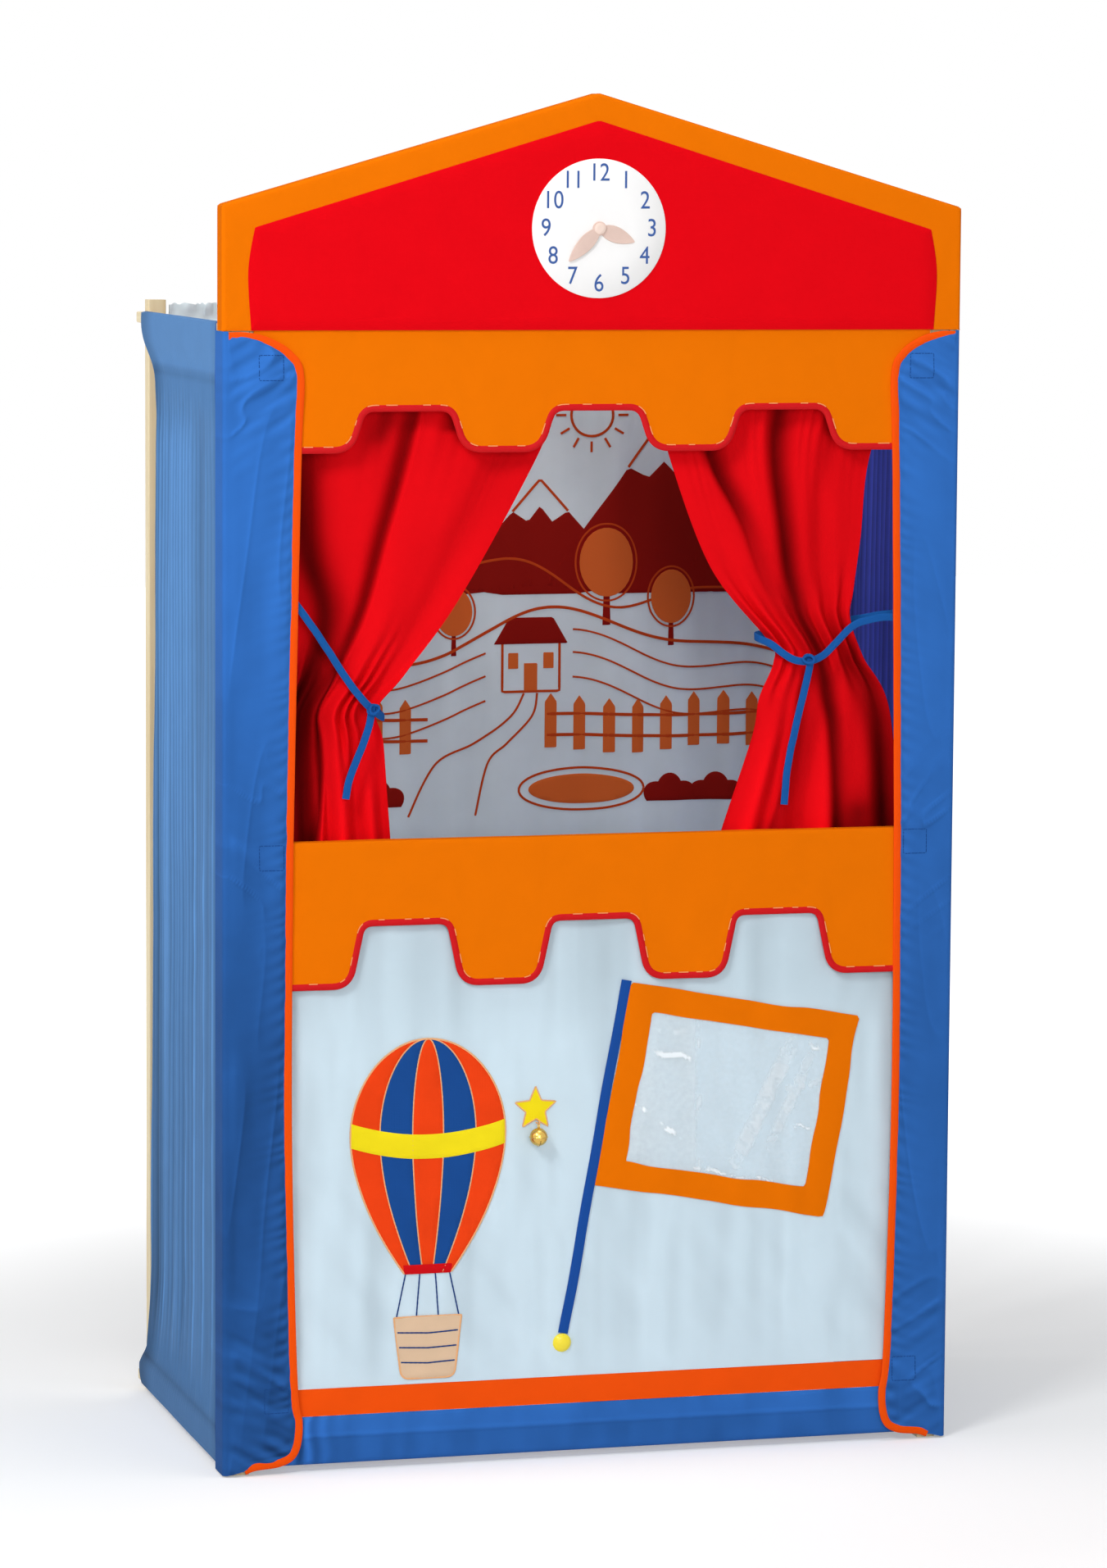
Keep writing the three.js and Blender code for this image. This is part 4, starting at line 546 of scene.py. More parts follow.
# A small overhand knot: short oval loops of tape wound round the tie, each tilted in the front view.
def knotShells(centre, loops):
    shells = []
    angle = np.linspace(0, turn, 33)[:-1]
    for (wide, tall, deep), tilt in loops:
        a, b = wide * np.cos(angle), tall * np.sin(angle)
        c, s = math.cos(tilt), math.sin(tilt)
        spun = pointsOf(a * c - b * s, deep * np.sin(angle), a * s + b * c)
        line = np.vstack([spun, spun[:2]]) + centre
        shells.append(sweepShell(line, roundSection(1.6, 3.1, 10, 2.6), (0.2, 1.0, 0.1)))
    return shells


tieLines, tapes, knots = {}, {}, {}
tapeSection = roundSection(tieWall / 2, tieWidth / 2, 16, 3.5)
for seed, (name, route) in enumerate(tieRoutes.items(), 11):
    up = (1, 0, 0) if name.endswith("tail") else (0, 0, 1)
    tieLines[name] = tieLine(route, up, seed)
    strip = sweepShell(tieLines[name], tapeSection, up)
    tapes[name] = makePiece(name + "_tape", [strip], tapeCotton, [name])
for name, (centre, loops) in tieKnots.items():
    knots[name] = makePiece(name + "_knot", knotShells(centre, loops), tapeCotton)
print("ties made")

# Curtains. Outer and inner are the edges' places, down from the rod, as shares of the half opening. A
# valley has its path (down, place from the outer edge), its half widths on the outer and inner side, its
# depth, the painted shade at its bottom, and how strong it is on the way down.
curtainTop, curtainDrop, curtainWall = 1145.2, 505.2, 0.9
rodY, rodZ = 14.5, 1150
sleeveRadius, loopRadius, loopWidth = 4.8, 4.85, 12
curtains = {
    "left": {
        "side": -1,
        "outer": [(0, 0.99), (0.3, 0.93), (0.48, 0.858), (0.6, 0.875), (0.73, 0.93), (1, 0.945)],
        "inner": [
            (0, 0.076), (0.157, 0.162), (0.45, 0.388), (0.6, 0.54), (0.675, 0.625), (0.75, 0.602),
            (0.95, 0.58), (1, 0.577),
        ],
        "cinch": 806,
        "valleys": [
            ([(0, 0.55), (0.3, 0.51), (0.5, 0.43), (0.62, 0.42), (0.8, 0.46), (1, 0.38)],
             0.05, 0.012, 11, 0.72, [(0, 1), (1, 1)]),
            ([(0, 0.11), (0.3, 0.15), (0.5, 0.22), (0.7, 0.18), (1, 0.12)],
             0.08, 0.09, 16, 0.78, [(0, 0.8), (0.12, 1), (1, 1)]),
            ([(0, 0.3), (1, 0.27)], 0.15, 0.11, 6, 0.74, [(0, 0), (0.5, 0), (0.7, 1), (1, 1)]),
            ([(0, 0.68), (1, 0.68)], 0.05, 0.05, 7, 0.6, [(0, 1), (0.09, 1), (0.2, 0), (1, 0)]),
            ([(0, 0.47), (0.2, 0.42), (1, 0.4)], 0.06, 0.04, 5, 0.5, [(0, 1), (0.1, 1), (0.24, 0), (1, 0)]),
            ([(0, 0.88), (0.5, 0.82), (1, 0.78)], 0.06, 0.07, 5, 0.1, [(0, 1), (1, 0.8)]),
        ],
        "pinches": 7,
        "seed": 21,
        "loop": -26,
        "flat": (0.345, 0.52),
        "fixed": -0.3675,
        "packed": 0.37,
    },
    "right": {
        "side": 1,
        "outer": [
            (0, 0.9), (0.17, 0.827), (0.33, 0.808), (0.44, 0.789), (0.5, 0.779), (0.58, 0.82),
            (0.7, 0.91), (1, 0.945),
        ],
        "inner": [
            (0, 0.182), (0.16, 0.232), (0.39, 0.361), (0.545, 0.54), (0.59, 0.557),
            (0.665, 0.512), (0.75, 0.49), (0.945, 0.4), (1, 0.38),
        ],
        "cinch": 872,
        "valleys": [
            ([(0, 0.46), (0.3, 0.45), (0.6, 0.47), (0.75, 0.42), (1, 0.34)],
             0.055, 0.045, 14, 0.8, [(0, 1), (1, 1)]),
            ([(0, 0.84), (0.17, 0.78), (0.33, 0.67), (0.6, 0.65), (1, 0.72)],
             0.065, 0.03, 12, 0.78, [(0, 0.9), (0.2, 1), (0.36, 0.5), (0.55, 0.4), (0.7, 0.6), (1, 0.9)]),
            ([(0, 0.26), (0.12, 0.2), (1, 0.2)], 0.05, 0.04, 7, 0.7, [(0, 1), (0.09, 1), (0.22, 0), (1, 0)]),
            ([(0, 0.1), (0.6, 0.1), (1, 0.08)],
             0.1, 0.1, 12, 0.8, [(0, 0.15), (0.45, 0.2), (0.6, 0.8), (0.75, 1), (1, 1)]),
            ([(0, 0.24), (1, 0.22)], 0.09, 0.09, 5, 0.7, [(0, 0), (0.76, 0), (0.92, 1), (1, 1)]),
            ([(0, 0.2), (0.5, 0.24), (1, 0.2)],
             0.05, 0.06, 7, 0.12, [(0, 0.2), (0.3, 1), (0.6, 1), (0.7, 0), (1, 0)]),
        ],
        "pinches": 6,
        "seed": 31,
        "loop": 54,
        "flat": (0.285, 0.52),
        "fixed": 0.3508,
        "packed": 0.332,
    },
}


# The valleys' depth and painted shade over the cloth: humps across each path, wider near the tie.
def valleysOf(spec, u, v, z):
    depth, dark = np.zeros(np.broadcast(u, v).shape), np.zeros(np.broadcast(u, v).shape)
    wide = hump(z, spec["cinch"], 110)
    for path, outerHalf, innerHalf, deep, paintedShade, strength in spec["valleys"]:
        away = u - through(path, v) - 0.012 * noise(v * 500, deep, 70, spec["seed"] + deep)
        half = np.where(away < 0, outerHalf, innerHalf) * (1 + 0.5 * wide)
        shape = hump(away, 0, half) * np.clip(through(strength, v), 0, 1)
        depth += deep * shape
        dark = 1 - (1 - dark) * (1 - paintedShade * shape)
    return depth, dark


# Each point keeps its share of the width between the two edges, so folds run together at the tie.
# Back from the rod's line: the valleys, fine gathers under the rod, narrow folds at the tie, soft hills
# and a wavy hem. The first rows go round the rod as a puckered sleeve.
def curtainGrid(spec):
    columns, rows, sleeveRows = 280, 150, 14
    side, cinch, seed = spec["side"], spec["cinch"], spec["seed"]
    u = np.linspace(0, 1, columns)[None, :]
    v = np.linspace(0, 1, rows)[:, None]
    z = curtainTop - curtainDrop * v
    outer, inner = through(spec["outer"], v), through(spec["inner"], v)
    x = side * postInner * (outer + (inner - outer) * u)
    near, wide = hump(z, cinch, 48), hump(z, cinch, 120)
    free = smooth(0, 0.1, v)
    depth, dark = valleysOf(spec, u, v, z)
    gathers = 2.5 * np.sin(turn * (17 * u + 0.9 * noise(u * 300, 0, 40, seed + 2)))
    gathers = gathers * np.exp(-v / 0.07) * smooth(0, 0.02, v)
    pinch = 6.0 * near * np.sin(turn * (spec["pinches"] * u + 0.35 * noise(u * 200, 5, 40, seed + 3)))
    soft = 2.2 * noise(u * 300 + 90, z, 62, seed + 4, 3.5) + 0.4 * noise(u * 300, z, 24, seed + 6, 5.0)
    soft = soft * free * (1 - 0.8 * near)
    hemWave = np.sin(turn * (4.3 * u + 0.3 * noise(u * 200, z, 60, seed + 7, 4.0)))
    hem = 6.5 * smooth(cinch - 20, 690, z) * hemWave
    puff = -3.0 * hump(z, cinch + 70, 45) * np.sin(math.pi * u)
    middle = rodY + free * (1.0 + 6.0 * wide)
    y = middle + depth * free * (1 - 0.5 * near) + gathers + pinch + soft + hem + puff
    y = np.clip(y, 4.5 + 5 * near, 40 - 6 * near)
    # Painted shade: darker where the pinches, hills, gathers and hem go back, lighter where they come
    # forward.
    dark = dark + 0.012 * pinch + 0.03 * (soft + gathers) + 0.02 * hem
    angle = np.linspace(-0.5 * math.pi + 0.5, 1.5 * math.pi - 0.25, sleeveRows)[:, None]
    pucker = sleeveRadius + 0.5 + 0.5 * np.sin(turn * 34 * u + 3 * noise(u * 200, 3, 12, seed + 5))
    sleeve = pointsOf(x[:1], rodY + pucker * np.cos(angle), rodZ + pucker * np.sin(angle))
    grid = np.concatenate([sleeve, pointsOf(x, y, z)[1:]])
    # The sleeve round the rod gets an even painted shade.
    dark = np.concatenate([np.full((sleeveRows, columns), 0.1), dark[1:]])
    return (grid, dark) if side < 0 else (grid[:, ::-1], dark[:, ::-1])


# The heading loop's cloth: a short sleeve round the rod from its left edge, a little wavy.
def headingLoop(start):
    angle = np.linspace(0, turn, 33)
    u = np.linspace(0, 1, 16)[:, None]
    radius = loopRadius + 0.2 * np.sin(turn * 2.5 * u)
    ring = pointsOf(start + loopWidth * u, rodY + radius * np.cos(angle), rodZ + radius * np.sin(angle))
    return clothShell(ring[:, ::-1], 0.8)


curtainPieces = {}
for hand, spec in curtains.items():
    grid, dark = curtainGrid(spec)
    node, loopNode = "curtain_" + hand, "curtain_loop_" + hand
    cloth = [clothShell(grid, curtainWall)]
    curtainPieces[hand] = makePiece(node + "_cloth", cloth, redCotton, [node], dark=dark)
    loop = [headingLoop(spec["loop"])]
    makePiece(loopNode + "_cloth", loop, redCotton, [loopNode], "curtain_lead_" + hand)
print("curtains made")

# Lower front: the panel hangs free between the sill rail and the stripe, so it bellies inwards in
# long soft folds, and all that is sewn on it follows the same surface.
panelFront = -1.5
panelFolds = [(310, 0.9, 0.9), (163, 2.2, 0.6), (88, 0.5, 0.32), (47, 1.4, 0.16)]  # length, phase, share


# How far back the panel lies: a hollow with long waves side by side that sway with the height, and
# random hills. It dies out at the panel's foot and top and is shallower at its sides.
def panelBelly(x, z):
    x, z = np.asarray(x, float), np.asarray(z, float)
    rise = smooth(58, 150, z) * (1 - smooth(600, 650, z))
    lean = x + 14 * noise(x * 0 + 5, z, 170, 41)
    wave = 0
    for length, phase, share in panelFolds:
        wave = wave + share * np.sin(turn * lean / length + phase)
    hollow = 3.4 + 1.6 * wave + 1.1 * noise(x, z, 42, 42, 4.0) + 0.4 * noise(x, z, 15, 43, 7.0)
    slant = noise(x * 0.8 + z * 0.6, z * 0.8 - x * 0.6, 24, 48, 4.0)
    hollow = hollow + 0.8 * slant * smooth(440, 240, z)
    edges = smooth(372, 330, np.abs(x))
    return rise * np.maximum(0, hollow) * (0.35 + 0.65 * edges)


# The panel's painted soft grey shade: in its hollows, beside the bands and under the counter's cloth.
def panelDark(x, z):
    hollow = np.clip((panelBelly(x, z) - panelBelly(x + 9, z)) * 0.1, -0.05, 0.15)
    rightShade = 0.08 * smooth(300, 352, x) * smooth(90, 250, z) * (1 + noise(x, z, 30, 49, 5.0))
    beside = 0.17 * smooth(350, 369, np.abs(x)) + rightShade
    return hollow + beside + 0.1 * smooth(440, 525, z) + 0.03 * noise(x, z, 60, 50, 3.0) - 0.01


# A place on the panel's front, lifted forward off it.
def onPanel(x, z, lift):
    return pointsOf(x, panelFront + panelBelly(x, z) - lift, z)


# Places over a flat cloth between two heights, row by row from its top.
def flatPlaces(low, high, columns, rows):
    return np.meshgrid(np.linspace(-tuckHalf, tuckHalf, columns), np.linspace(high, low, rows))


x, z = flatPlaces(88.3, 667.2, 240, 150)
cloth = [clothShell(onPanel(x, z, -0.6), 1.2)]
dark = panelDark(x, z)
lowerPanel = makePiece("lower_panel_cloth", cloth, paleCotton, ["lower_panel"], dark=dark)

x, z = flatPlaces(59, 88, 200, 14)
ripple = 0.5 * noise(x, z, 30, 44) + 0.25 * noise(x, z, 12, 45)
cloth = [clothShell(pointsOf(x, panelFront + 0.5 + panelBelly(x, z) * 0.6 + 0.3 * ripple, z), 1.2)]
lowerStripe = makePiece("lower_stripe_cloth", cloth, bindingCotton, ["lower_stripe"])

# The skirt goes down over the bottom rail, under it and up behind it. Its front has tucks near the left
# end, random pulls and a crease where it bends over the rail.
skirtPath = [(-0.9, 58.7), (-1.2, 37), (-0.9, 7.6), (10.9, 7.6), (10.9, 41)]
skirtLine = evenly(roundedLine(skirtPath, 2.5), 70)
x = np.linspace(-tuckHalf, tuckHalf, 260)[None, :]
run = lengths(skirtLine)[:, None]
tucks = 2.8 * hump(x, -322, 30) * np.sin(turn * x / 19 + 0.6 * np.sin(run / 9))
pull = 1.2 * noise(x, run, 34, 46, 2.5) + 0.7 * noise(x, run, 13, 47, 3.0)
crease = -1.2 * hump(run, 21, 2.4)
push = smooth(52, 46, run) * (tucks + pull + crease - 0.8) * smooth(0, 4, run)
cloth = [clothShell(pointsOf(x, skirtLine[:, :1] + np.minimum(push, 0.2), skirtLine[:, 1:]), 1.1)]
# Painted shade: darker below the crease where the skirt bends over the rail, and with the tucks and pulls.
dark = 0.2 * smooth(20, 24, run) + 0.13 * tucks + 0.07 * pull - 0.06
baseSkirt = makePiece("base_skirt_cloth", cloth, blueCotton, ["base_skirt"], dark=dark)
print("lower front made")

# Scalloped cloths and their piping: the heights of the tabs' foot, of the notches, of the cloth's top and
# of the line where it is held
notchPitch, notchHalf, notchSlant, notchRadius = 204, 50, 14, 15
scallopY, pipingWidth = -3.3, 7
scallops = {
    "top_valance": {
        "node": "top_valance", "tab": 1074, "notch": 1117, "top": 1211, "held": 1190, "seed": 51,
    },
    "counter": {
        "node": "counter_cloth", "tab": 513, "notch": 579, "top": sillHeight - 1.5, "held": 655, "seed": 61,
    },
}


# The scalloped edge from left to right, without the piping.
def scallopLine(spec):
    tab, notch, wide = spec["tab"] + pipingWidth, spec["notch"] + pipingWidth, notchHalf + notchSlant
    corners = [(-tuckHalf, tab)]
    for middle in (-notchPitch, 0, notchPitch):
        for reach, height in ((-wide, tab), (-notchHalf, notch), (notchHalf, notch), (wide, tab)):
            corners.append((middle + reach, height))
    corners.append((tuckHalf, tab))
    return roundedLine(corners, notchRadius, 10)


# How far forward the cloth lies: at its plane where it is held, more and uneven at its foot.
def scallopFront(x, z, spec):
    stand = 1.1 + 0.8 * noise(x, z, 70, spec["seed"], 2.0) + 0.5 * noise(x, z, 26, spec["seed"] + 1, 2.0)
    return scallopY - smooth(spec["held"], spec["tab"], z) * stand


# Each column hangs from the cloth's top straight down to the scalloped edge, in even shares.
def scallopGrid(spec):
    edge = evenly(scallopLine(spec), 330)
    share = np.linspace(0, 1, 46)[:, None]
    x = edge[None, :, 0] + 0 * share
    z = spec["top"] + (edge[None, :, 1] - spec["top"]) * share
    return pointsOf(x, scallopFront(x, z, spec), z)


# The counter's cloth turns back over the sill and down behind it, with a faint sag on top.
def overSill(grid):
    over = [(scallopY, sillHeight - 1.5), (scallopY, sillHeight - 0.6), (10.9, sillHeight - 0.6), (10.9, 643)]
    over = evenly(roundedLine(over, 1.6, 4), 34)[1:][::-1]
    back, height = over[:, :1], over[:, 1:]
    x = grid[:1, :, 0]
    sag = 0.35 * noise(x, 0, 60, 63) * smooth(0, 6, back) * smooth(12, 8, back)
    return np.concatenate([pointsOf(x, back, height + sag), grid[1:]])


# Stitches along a line: short thread ends of uneven length, on the surface.
def stitchShells(line, width, length, gapShare, seed):
    random = np.random.default_rng(seed)
    run = lengths(line)
    shells, at = [], 0.0
    while at < run[-1] - length:
        span = length * random.uniform(0.6, 1.5)
        ends = np.linspace(at, min(run[-1], at + span), 4)
        part = np.stack([np.interp(ends, run, line[:, k]) for k in range(3)], 1)
        shells.append(sweepShell(part, roundSection(width / 2, 0.35, 6), (0, 1, 0)))
        at += span + length * gapShare * random.uniform(0.4, 1.8)
    return shells


# The piping's middle line lies below the cloth's edge, square to it, and a seam runs along the edge.
valances = {}
for name, spec in scallops.items():
    grid = scallopGrid(spec)
    if name == "counter":
        grid = overSill(grid)
    cloth = [clothShell(grid, 1.2)]
    valance = makePiece(spec["node"] + "_cloth", cloth, orangeCotton, [spec["node"]])
    edge = evenly(scallopLine(spec), 420)
    y = scallopFront(edge[:, 0], edge[:, 1], spec)
    line = edge + rightOf(edge) * (pipingWidth / 2 - 0.1)
    oval = roundSection(pipingWidth / 2 + 0.2, 1.7, 14)
    cord = [sweepShell(pointsOf(line[:, 0], y, line[:, 1]), oval, (0, 1, 0))]
    piping = makePiece(name + "_piping_cord", cord, pipingSatin, [name + "_piping"])
    seam = stitchShells(pointsOf(edge[:, 0], y - 1.35, edge[:, 1] - 0.2), 1.2, 9, 1.7, spec["seed"] + 5)
    stitches = makePiece(name + "_stitches", seam, orangeThread)
    valances[name] = (valance, [piping, stitches])
print("valances made")

# Gable: a hood over the rafters with a red panel on its front
gable = {"top": 1447, "shoulder": 1330, "front": -4.8, "back": 20.9, "edgeRadius": 3.2, "backFoot": 1213}

# The hood's outline from its left foot over the peak to its right foot, its corners a little round.
hoodSide = [(halfWidth, gable["shoulder"]), (halfWidth, coverTop)]
hoodCorners = [(-x, z) for x, z in hoodSide[::-1]] + [(0, gable["top"])] + hoodSide
hoodOutline = evenly(roundedLine(hoodCorners, 2.0, 4), 300)


# The hood's soft swell forward: wide random hills and small ones.
def hoodPuff(x, z):
    return 0.5 * noise(x, z, 90, 71) + 0.25 * noise(x, z, 30, 72)


# Rows along the outline: up the short back sheet from its foot, over both edges, each with a small
# radius, and down the front sheet to a point on the foot line for each place on the outline.
def hoodGrid():
    front, back, radius, lowest = (gable[part] for part in ("front", "back", "edgeRadius", "backFoot"))
    inward = rightOf(hoodOutline)
    inset = hoodOutline + inward * radius
    footX = np.linspace(-halfWidth, halfWidth, len(hoodOutline))
    bends = np.linspace(0, math.pi / 2, 7)
    rows = []
    backFoot = np.stack(np.broadcast_arrays(footX, lowest), 1)
    for t in np.linspace(1, 0, 22)[:-1]:
        row = inset + (backFoot - inset) * t * (inset[:, 1:] > lowest)
        rows.append(pointsOf(row[:, 0], back, np.maximum(row[:, 1], lowest)))

    # A row at one depth that stops at the hood's foot.
    def addRow(line, y):
        rows.append(pointsOf(line[:, 0], y, np.maximum(line[:, 1], coverTop)))

    # A row on a round edge: the outline moved in by the radius times one less the angle's sine.
    def bendRow(angle, y):
        addRow(hoodOutline + inward * radius * (1 - math.sin(angle)), y)

    for angle in bends:
        bendRow(angle, back - radius * (1 - math.cos(angle)))
    for t in np.linspace(0, 1, 8)[1:-1]:
        depth = back - radius + (front - back + 2 * radius) * t
        addRow(hoodOutline + inward * 0.4 * math.sin(math.pi * t), depth)
    for angle in bends[::-1]:
        bendRow(angle, front + radius * (1 - math.cos(angle)))
    foot = np.stack(np.broadcast_arrays(footX, coverTop), 1)
    for t in np.linspace(0, 1, 42)[1:]:
        row = inset + (foot - inset) * t
        addRow(row, front - hoodPuff(row[:, 0], row[:, 1]) * min(1, 6 * t) * min(1, 6 * (1 - t)))
    return np.stack(rows)


cloth = [clothShell(hoodGrid(), 1.1)]
gableCover = makePiece("gable_cover_cloth", cloth, orangeCotton, ["gable_cover"])


# A place just in front of the hood, which follows most of its swell, lifted forward.
def onGable(x, z, lift):
    return pointsOf(x, -5.45 - 0.8 * hoodPuff(x, z) - lift, z)


panelSide = np.array([(371, 1201.3), (374, 1262), (367, 1307)])
leftSide, rightSide = splineThrough(panelSide * [-1, 1], 30), splineThrough(panelSide[::-1], 30)
panelRoof = roundedLine([leftSide[-1], (0, 1419), rightSide[0]], 3, 6)[1:-1]
panelOutline = evenly(np.vstack([leftSide, panelRoof, rightSide]), 260)
felt = [sewnShell(panelOutline, onGable, 0.9, spacing=14)]
gablePanel = makePiece("gable_panel_felt", felt, redFelt, ["gable_panel"])
print("gable made")

# Clock
clock = {
    "z": 1307, "radius": 72.5, "front": -7.8, "wall": 1.0, "edge": 0.4, "hub": 7.4,
    "numeralSize": 26.2, "numeralReach": 57.5, "numeralNarrow": 0.88,
}
hands = {
    "hour_hand": {"length": 41, "width": 17, "front": -9.1, "degrees": 110},
    "minute_hand": {"length": 48, "width": 16, "front": -10.4, "degrees": 224},
}

radius, front, wall, edge = (clock[part] for part in ("radius", "front", "wall", "edge"))
dialProfile = [
    (radius / 2, front),
    (radius - edge, front),
    (radius, front + edge),
    (radius, front + wall - edge * 0.4),
    (radius - edge, front + wall),
]
disc = turnedShell((0, clock["z"]), dialProfile, 120)
makePiece("clock_dial_card", [disc], dialCard, ["clock_dial"])


# A numeral: a thin upright figure at its hour's place, a hair in front of the dial.
def numeralShell(hour):
    data = bpy.data.curves.new("numeral", "FONT")
    data.body = str(hour)
    data.size = clock["numeralSize"] * millimetre
    data.align_x = data.align_y = "CENTER"
    data.extrude = 0.0001
    label = bpy.data.objects.new("numeral", data)
    bpy.context.scene.collection.objects.link(label)
    bpy.context.view_layer.update()
    mesh = bpy.data.meshes.new_from_object(label.evaluated_get(bpy.context.evaluated_depsgraph_get()))
    bpy.data.objects.remove(label)
    points = np.empty(len(mesh.vertices) * 3)
    mesh.vertices.foreach_get("co", points)
    faces = [list(polygon.vertices) for polygon in mesh.polygons]
    bpy.data.meshes.remove(mesh)
    across, upwards, out = points.reshape(-1, 3).T / millimetre
    angle, reach = turn * hour / 12, clock["numeralReach"]
    x = reach * math.sin(angle) + across * clock["numeralNarrow"]
    z = clock["z"] + reach * math.cos(angle) + upwards
    return pointsOf(x, clock["front"] - 0.15 - out, z), faces, None


numerals = [numeralShell(hour) for hour in range(1, 13)]
makePiece("dial_numerals", numerals, numeralInk)


# A padded leaf that points up from its hub and is turned to its hour: the width over its length is a
# rounded bud, and the front swells in the middle.
def handShell(length, width, front, degrees):
    wall, least = 1.0, 0.45
    t = np.linspace(0, 1, 60)
    bud = np.sin(math.pi * t**0.8) ** 0.75 * width / 2
    hub = np.sqrt(np.maximum(0, clock["hub"]**2 - (t * length) ** 2))
    half = np.maximum(np.maximum(bud, hub), 0.05)
    right = np.stack([half, t * length], 1)
    back = np.linspace(math.pi, 0, 22)[1:-1]
    heel = clock["hub"] * np.stack([np.cos(back), -np.sin(back)], 1)
    kept = []
    for point in np.vstack([right, (right * [-1, 1])[::-1][1:], heel]):
        if not kept or np.linalg.norm(point - kept[-1]) > least:
            kept.append(point)
    if np.linalg.norm(kept[0] - kept[-1]) < least:
        kept.pop()
    c, s = math.cos(math.radians(degrees)), math.sin(math.radians(degrees))

    # Across and up the hand, turned clockwise to its hour; the front swells as half an ellipse.
    def place(a, b, lift):
        span = np.interp(np.clip(b / length, 0, 1), t, half)
        swell = 0.175 * np.sqrt(np.clip(1 - (a / (span + 0.6)) ** 2, 0, 1)) if lift == wall else 0
        return pointsOf(a * c + b * s, front + wall - lift - swell, clock["z"] + b * c - a * s)

    return sewnShell(np.array(kept), place, wall, spacing=1.6, rim=0.35)


for name, spec in hands.items():
    makePiece(name + "_felt", [handShell(**spec)], handFelt, [name], name)
print("clock made")

# Front bands, their bindings and stitching. The shares give the inner edge: in from the corner as shares
# of the band's width, and up as shares of the cover's height.
bandShares = [
    (0.3, 0.9953), (0.566, 0.991), (0.855, 0.979), (0.985, 0.959), (0.952, 0.89), (0.88, 0.649),
    (0.849, 0.506), (0.843, 0.29), (0.916, 0.086), (0.985, 0.044), (0.93, 0.0195), (0.75, 0.0105),
    (0.42, 0.0078), (0.28, 0.0048),
]
bandY, bandTop, bandFoot, bandRadius, bandBack = -6.7, 1200.4, 1.3, 5.0, 31
# "paintedShade" is how much darker each band is painted towards its foot.
bandSpecs = {
    "left": {"side": -1, "width": 83, "seed": 81, "paintedShade": 0.5},
    "right": {"side": 1, "width": 74, "seed": 91, "paintedShade": 0.2},
}
patchHeights, patchHalf, stitchHalf = (1163, 654, 79), 14, 13


# The shares made places and joined smoothly, from beside the corner at the top.
def bandEdge(side, width):
    points = [(side * (halfWidth - a * width), b * coverTop) for a, b in bandShares]
    return splineThrough([(side * 395, points[0][1]), *points], 900)


# Outward relief of a band: creases that run off slanting at both ends, long soft hollows between them,
# a knee at the middle patch and small puckers beside the binding.
def bandRelief(x, z, run, seed):
    a = np.abs(x)
    inwards, top, foot = a - 360, smooth(1020, 1150, z), smooth(240, 80, z)
    slantTop, alongTop = inwards * 0.55 + (z - 1150), inwards - (z - 1150) * 0.55
    slantFoot, alongFoot = z - inwards * 0.6, inwards + z * 0.6
    endTop = 1.8 * creases(slantTop, alongTop, 26, seed, 3.0)
    endTop = endTop + 0.9 * noise(slantTop, alongTop, 9, seed + 1, 4.0)
    endFoot = 1.8 * creases(slantFoot, alongFoot, 30, seed + 2, 3.0)
    endFoot = endFoot + 0.9 * noise(slantFoot, alongFoot, 10, seed + 3, 4.0)
    middle = 1.0 * noise(a, z, 26, seed + 4, 5.0) + 0.6 * creases(a + 0.12 * z, z, 34, seed + 5, 5.0)
    knee = 1.5 * hump(z, 660, 80) * creases(inwards * 0.7 - z, a, 24, seed + 6, 2.0)
    beside = 0.6 * smooth(0.03, 0.1, run) * np.exp(-run / 0.16)
    pucker = beside * np.sin(turn * (z / 15 + 1.6 * run + 0.6 * noise(z, 0, 30, seed + 7)))
    return top * endTop + foot * endFoot + middle * (1 - 0.5 * top - 0.5 * foot) + knee + pucker


# The binding's line and the band's surface share the same inner edge. Columns run from the edge out to
# the corner, round it and back along the side; the rows are evenly spaced along the edge.
def bandSurface(side, width, seed, paintedShade):
    edge = evenly(bandEdge(side, width), 500)
    outerZ = np.linspace(bandTop, bandFoot, len(edge))[:, None]
    run = np.linspace(0, 1, 58)[None, :]
    cornerX = side * (halfWidth - bandRadius)
    x = edge[:, :1] + (cornerX - edge[:, :1]) * run
    z = edge[:, 1:] + (outerZ - edge[:, 1:]) * run
    relief = np.maximum(-1.2, bandRelief(x, z, run, seed))
    push = relief * smooth(0, 0.14, run) * (1 - 0.7 * smooth(0.85, 1, run))
    front = pointsOf(x, bandY - push - 0.8 * np.sin(math.pi * run), z)
    # Painted shade and light: darker towards the foot, darker or lighter by which way the relief slopes,
    # lighter on its crests.
    slope = np.gradient(push, axis=1) * 0.5 - np.gradient(push, axis=0) * 0.35
    dark = paintedShade * smooth(1000, 350, z) - 0.06 + np.clip(slope, -0.16, 0.24) - 0.04 * relief
    radius, flankX = bandRadius - 0.6, side * (halfWidth - 0.6)
    bend = np.linspace(0, math.pi / 2, 9)[1:]
    corner = pointsOf(cornerX + side * radius * np.sin(bend), bandY + radius * (1 - np.cos(bend)), outerZ)
    back = np.linspace(0, 1, 14)[1:]
    wave = 0.5 * noise(outerZ, back * 30, 40, seed + 8) * np.sin(math.pi * back)
    cornerY = bandY + radius
    flank = pointsOf(flankX + side * wave, cornerY + (bandBack - cornerY) * back, outerZ)
    grid = np.concatenate([front, corner, flank], 1)
    dark = np.pad(dark, ((0, 0), (0, grid.shape[1] - dark.shape[1])), "edge")
    return (grid, dark, edge) if side > 0 else (grid[:, ::-1], dark[:, ::-1], edge)


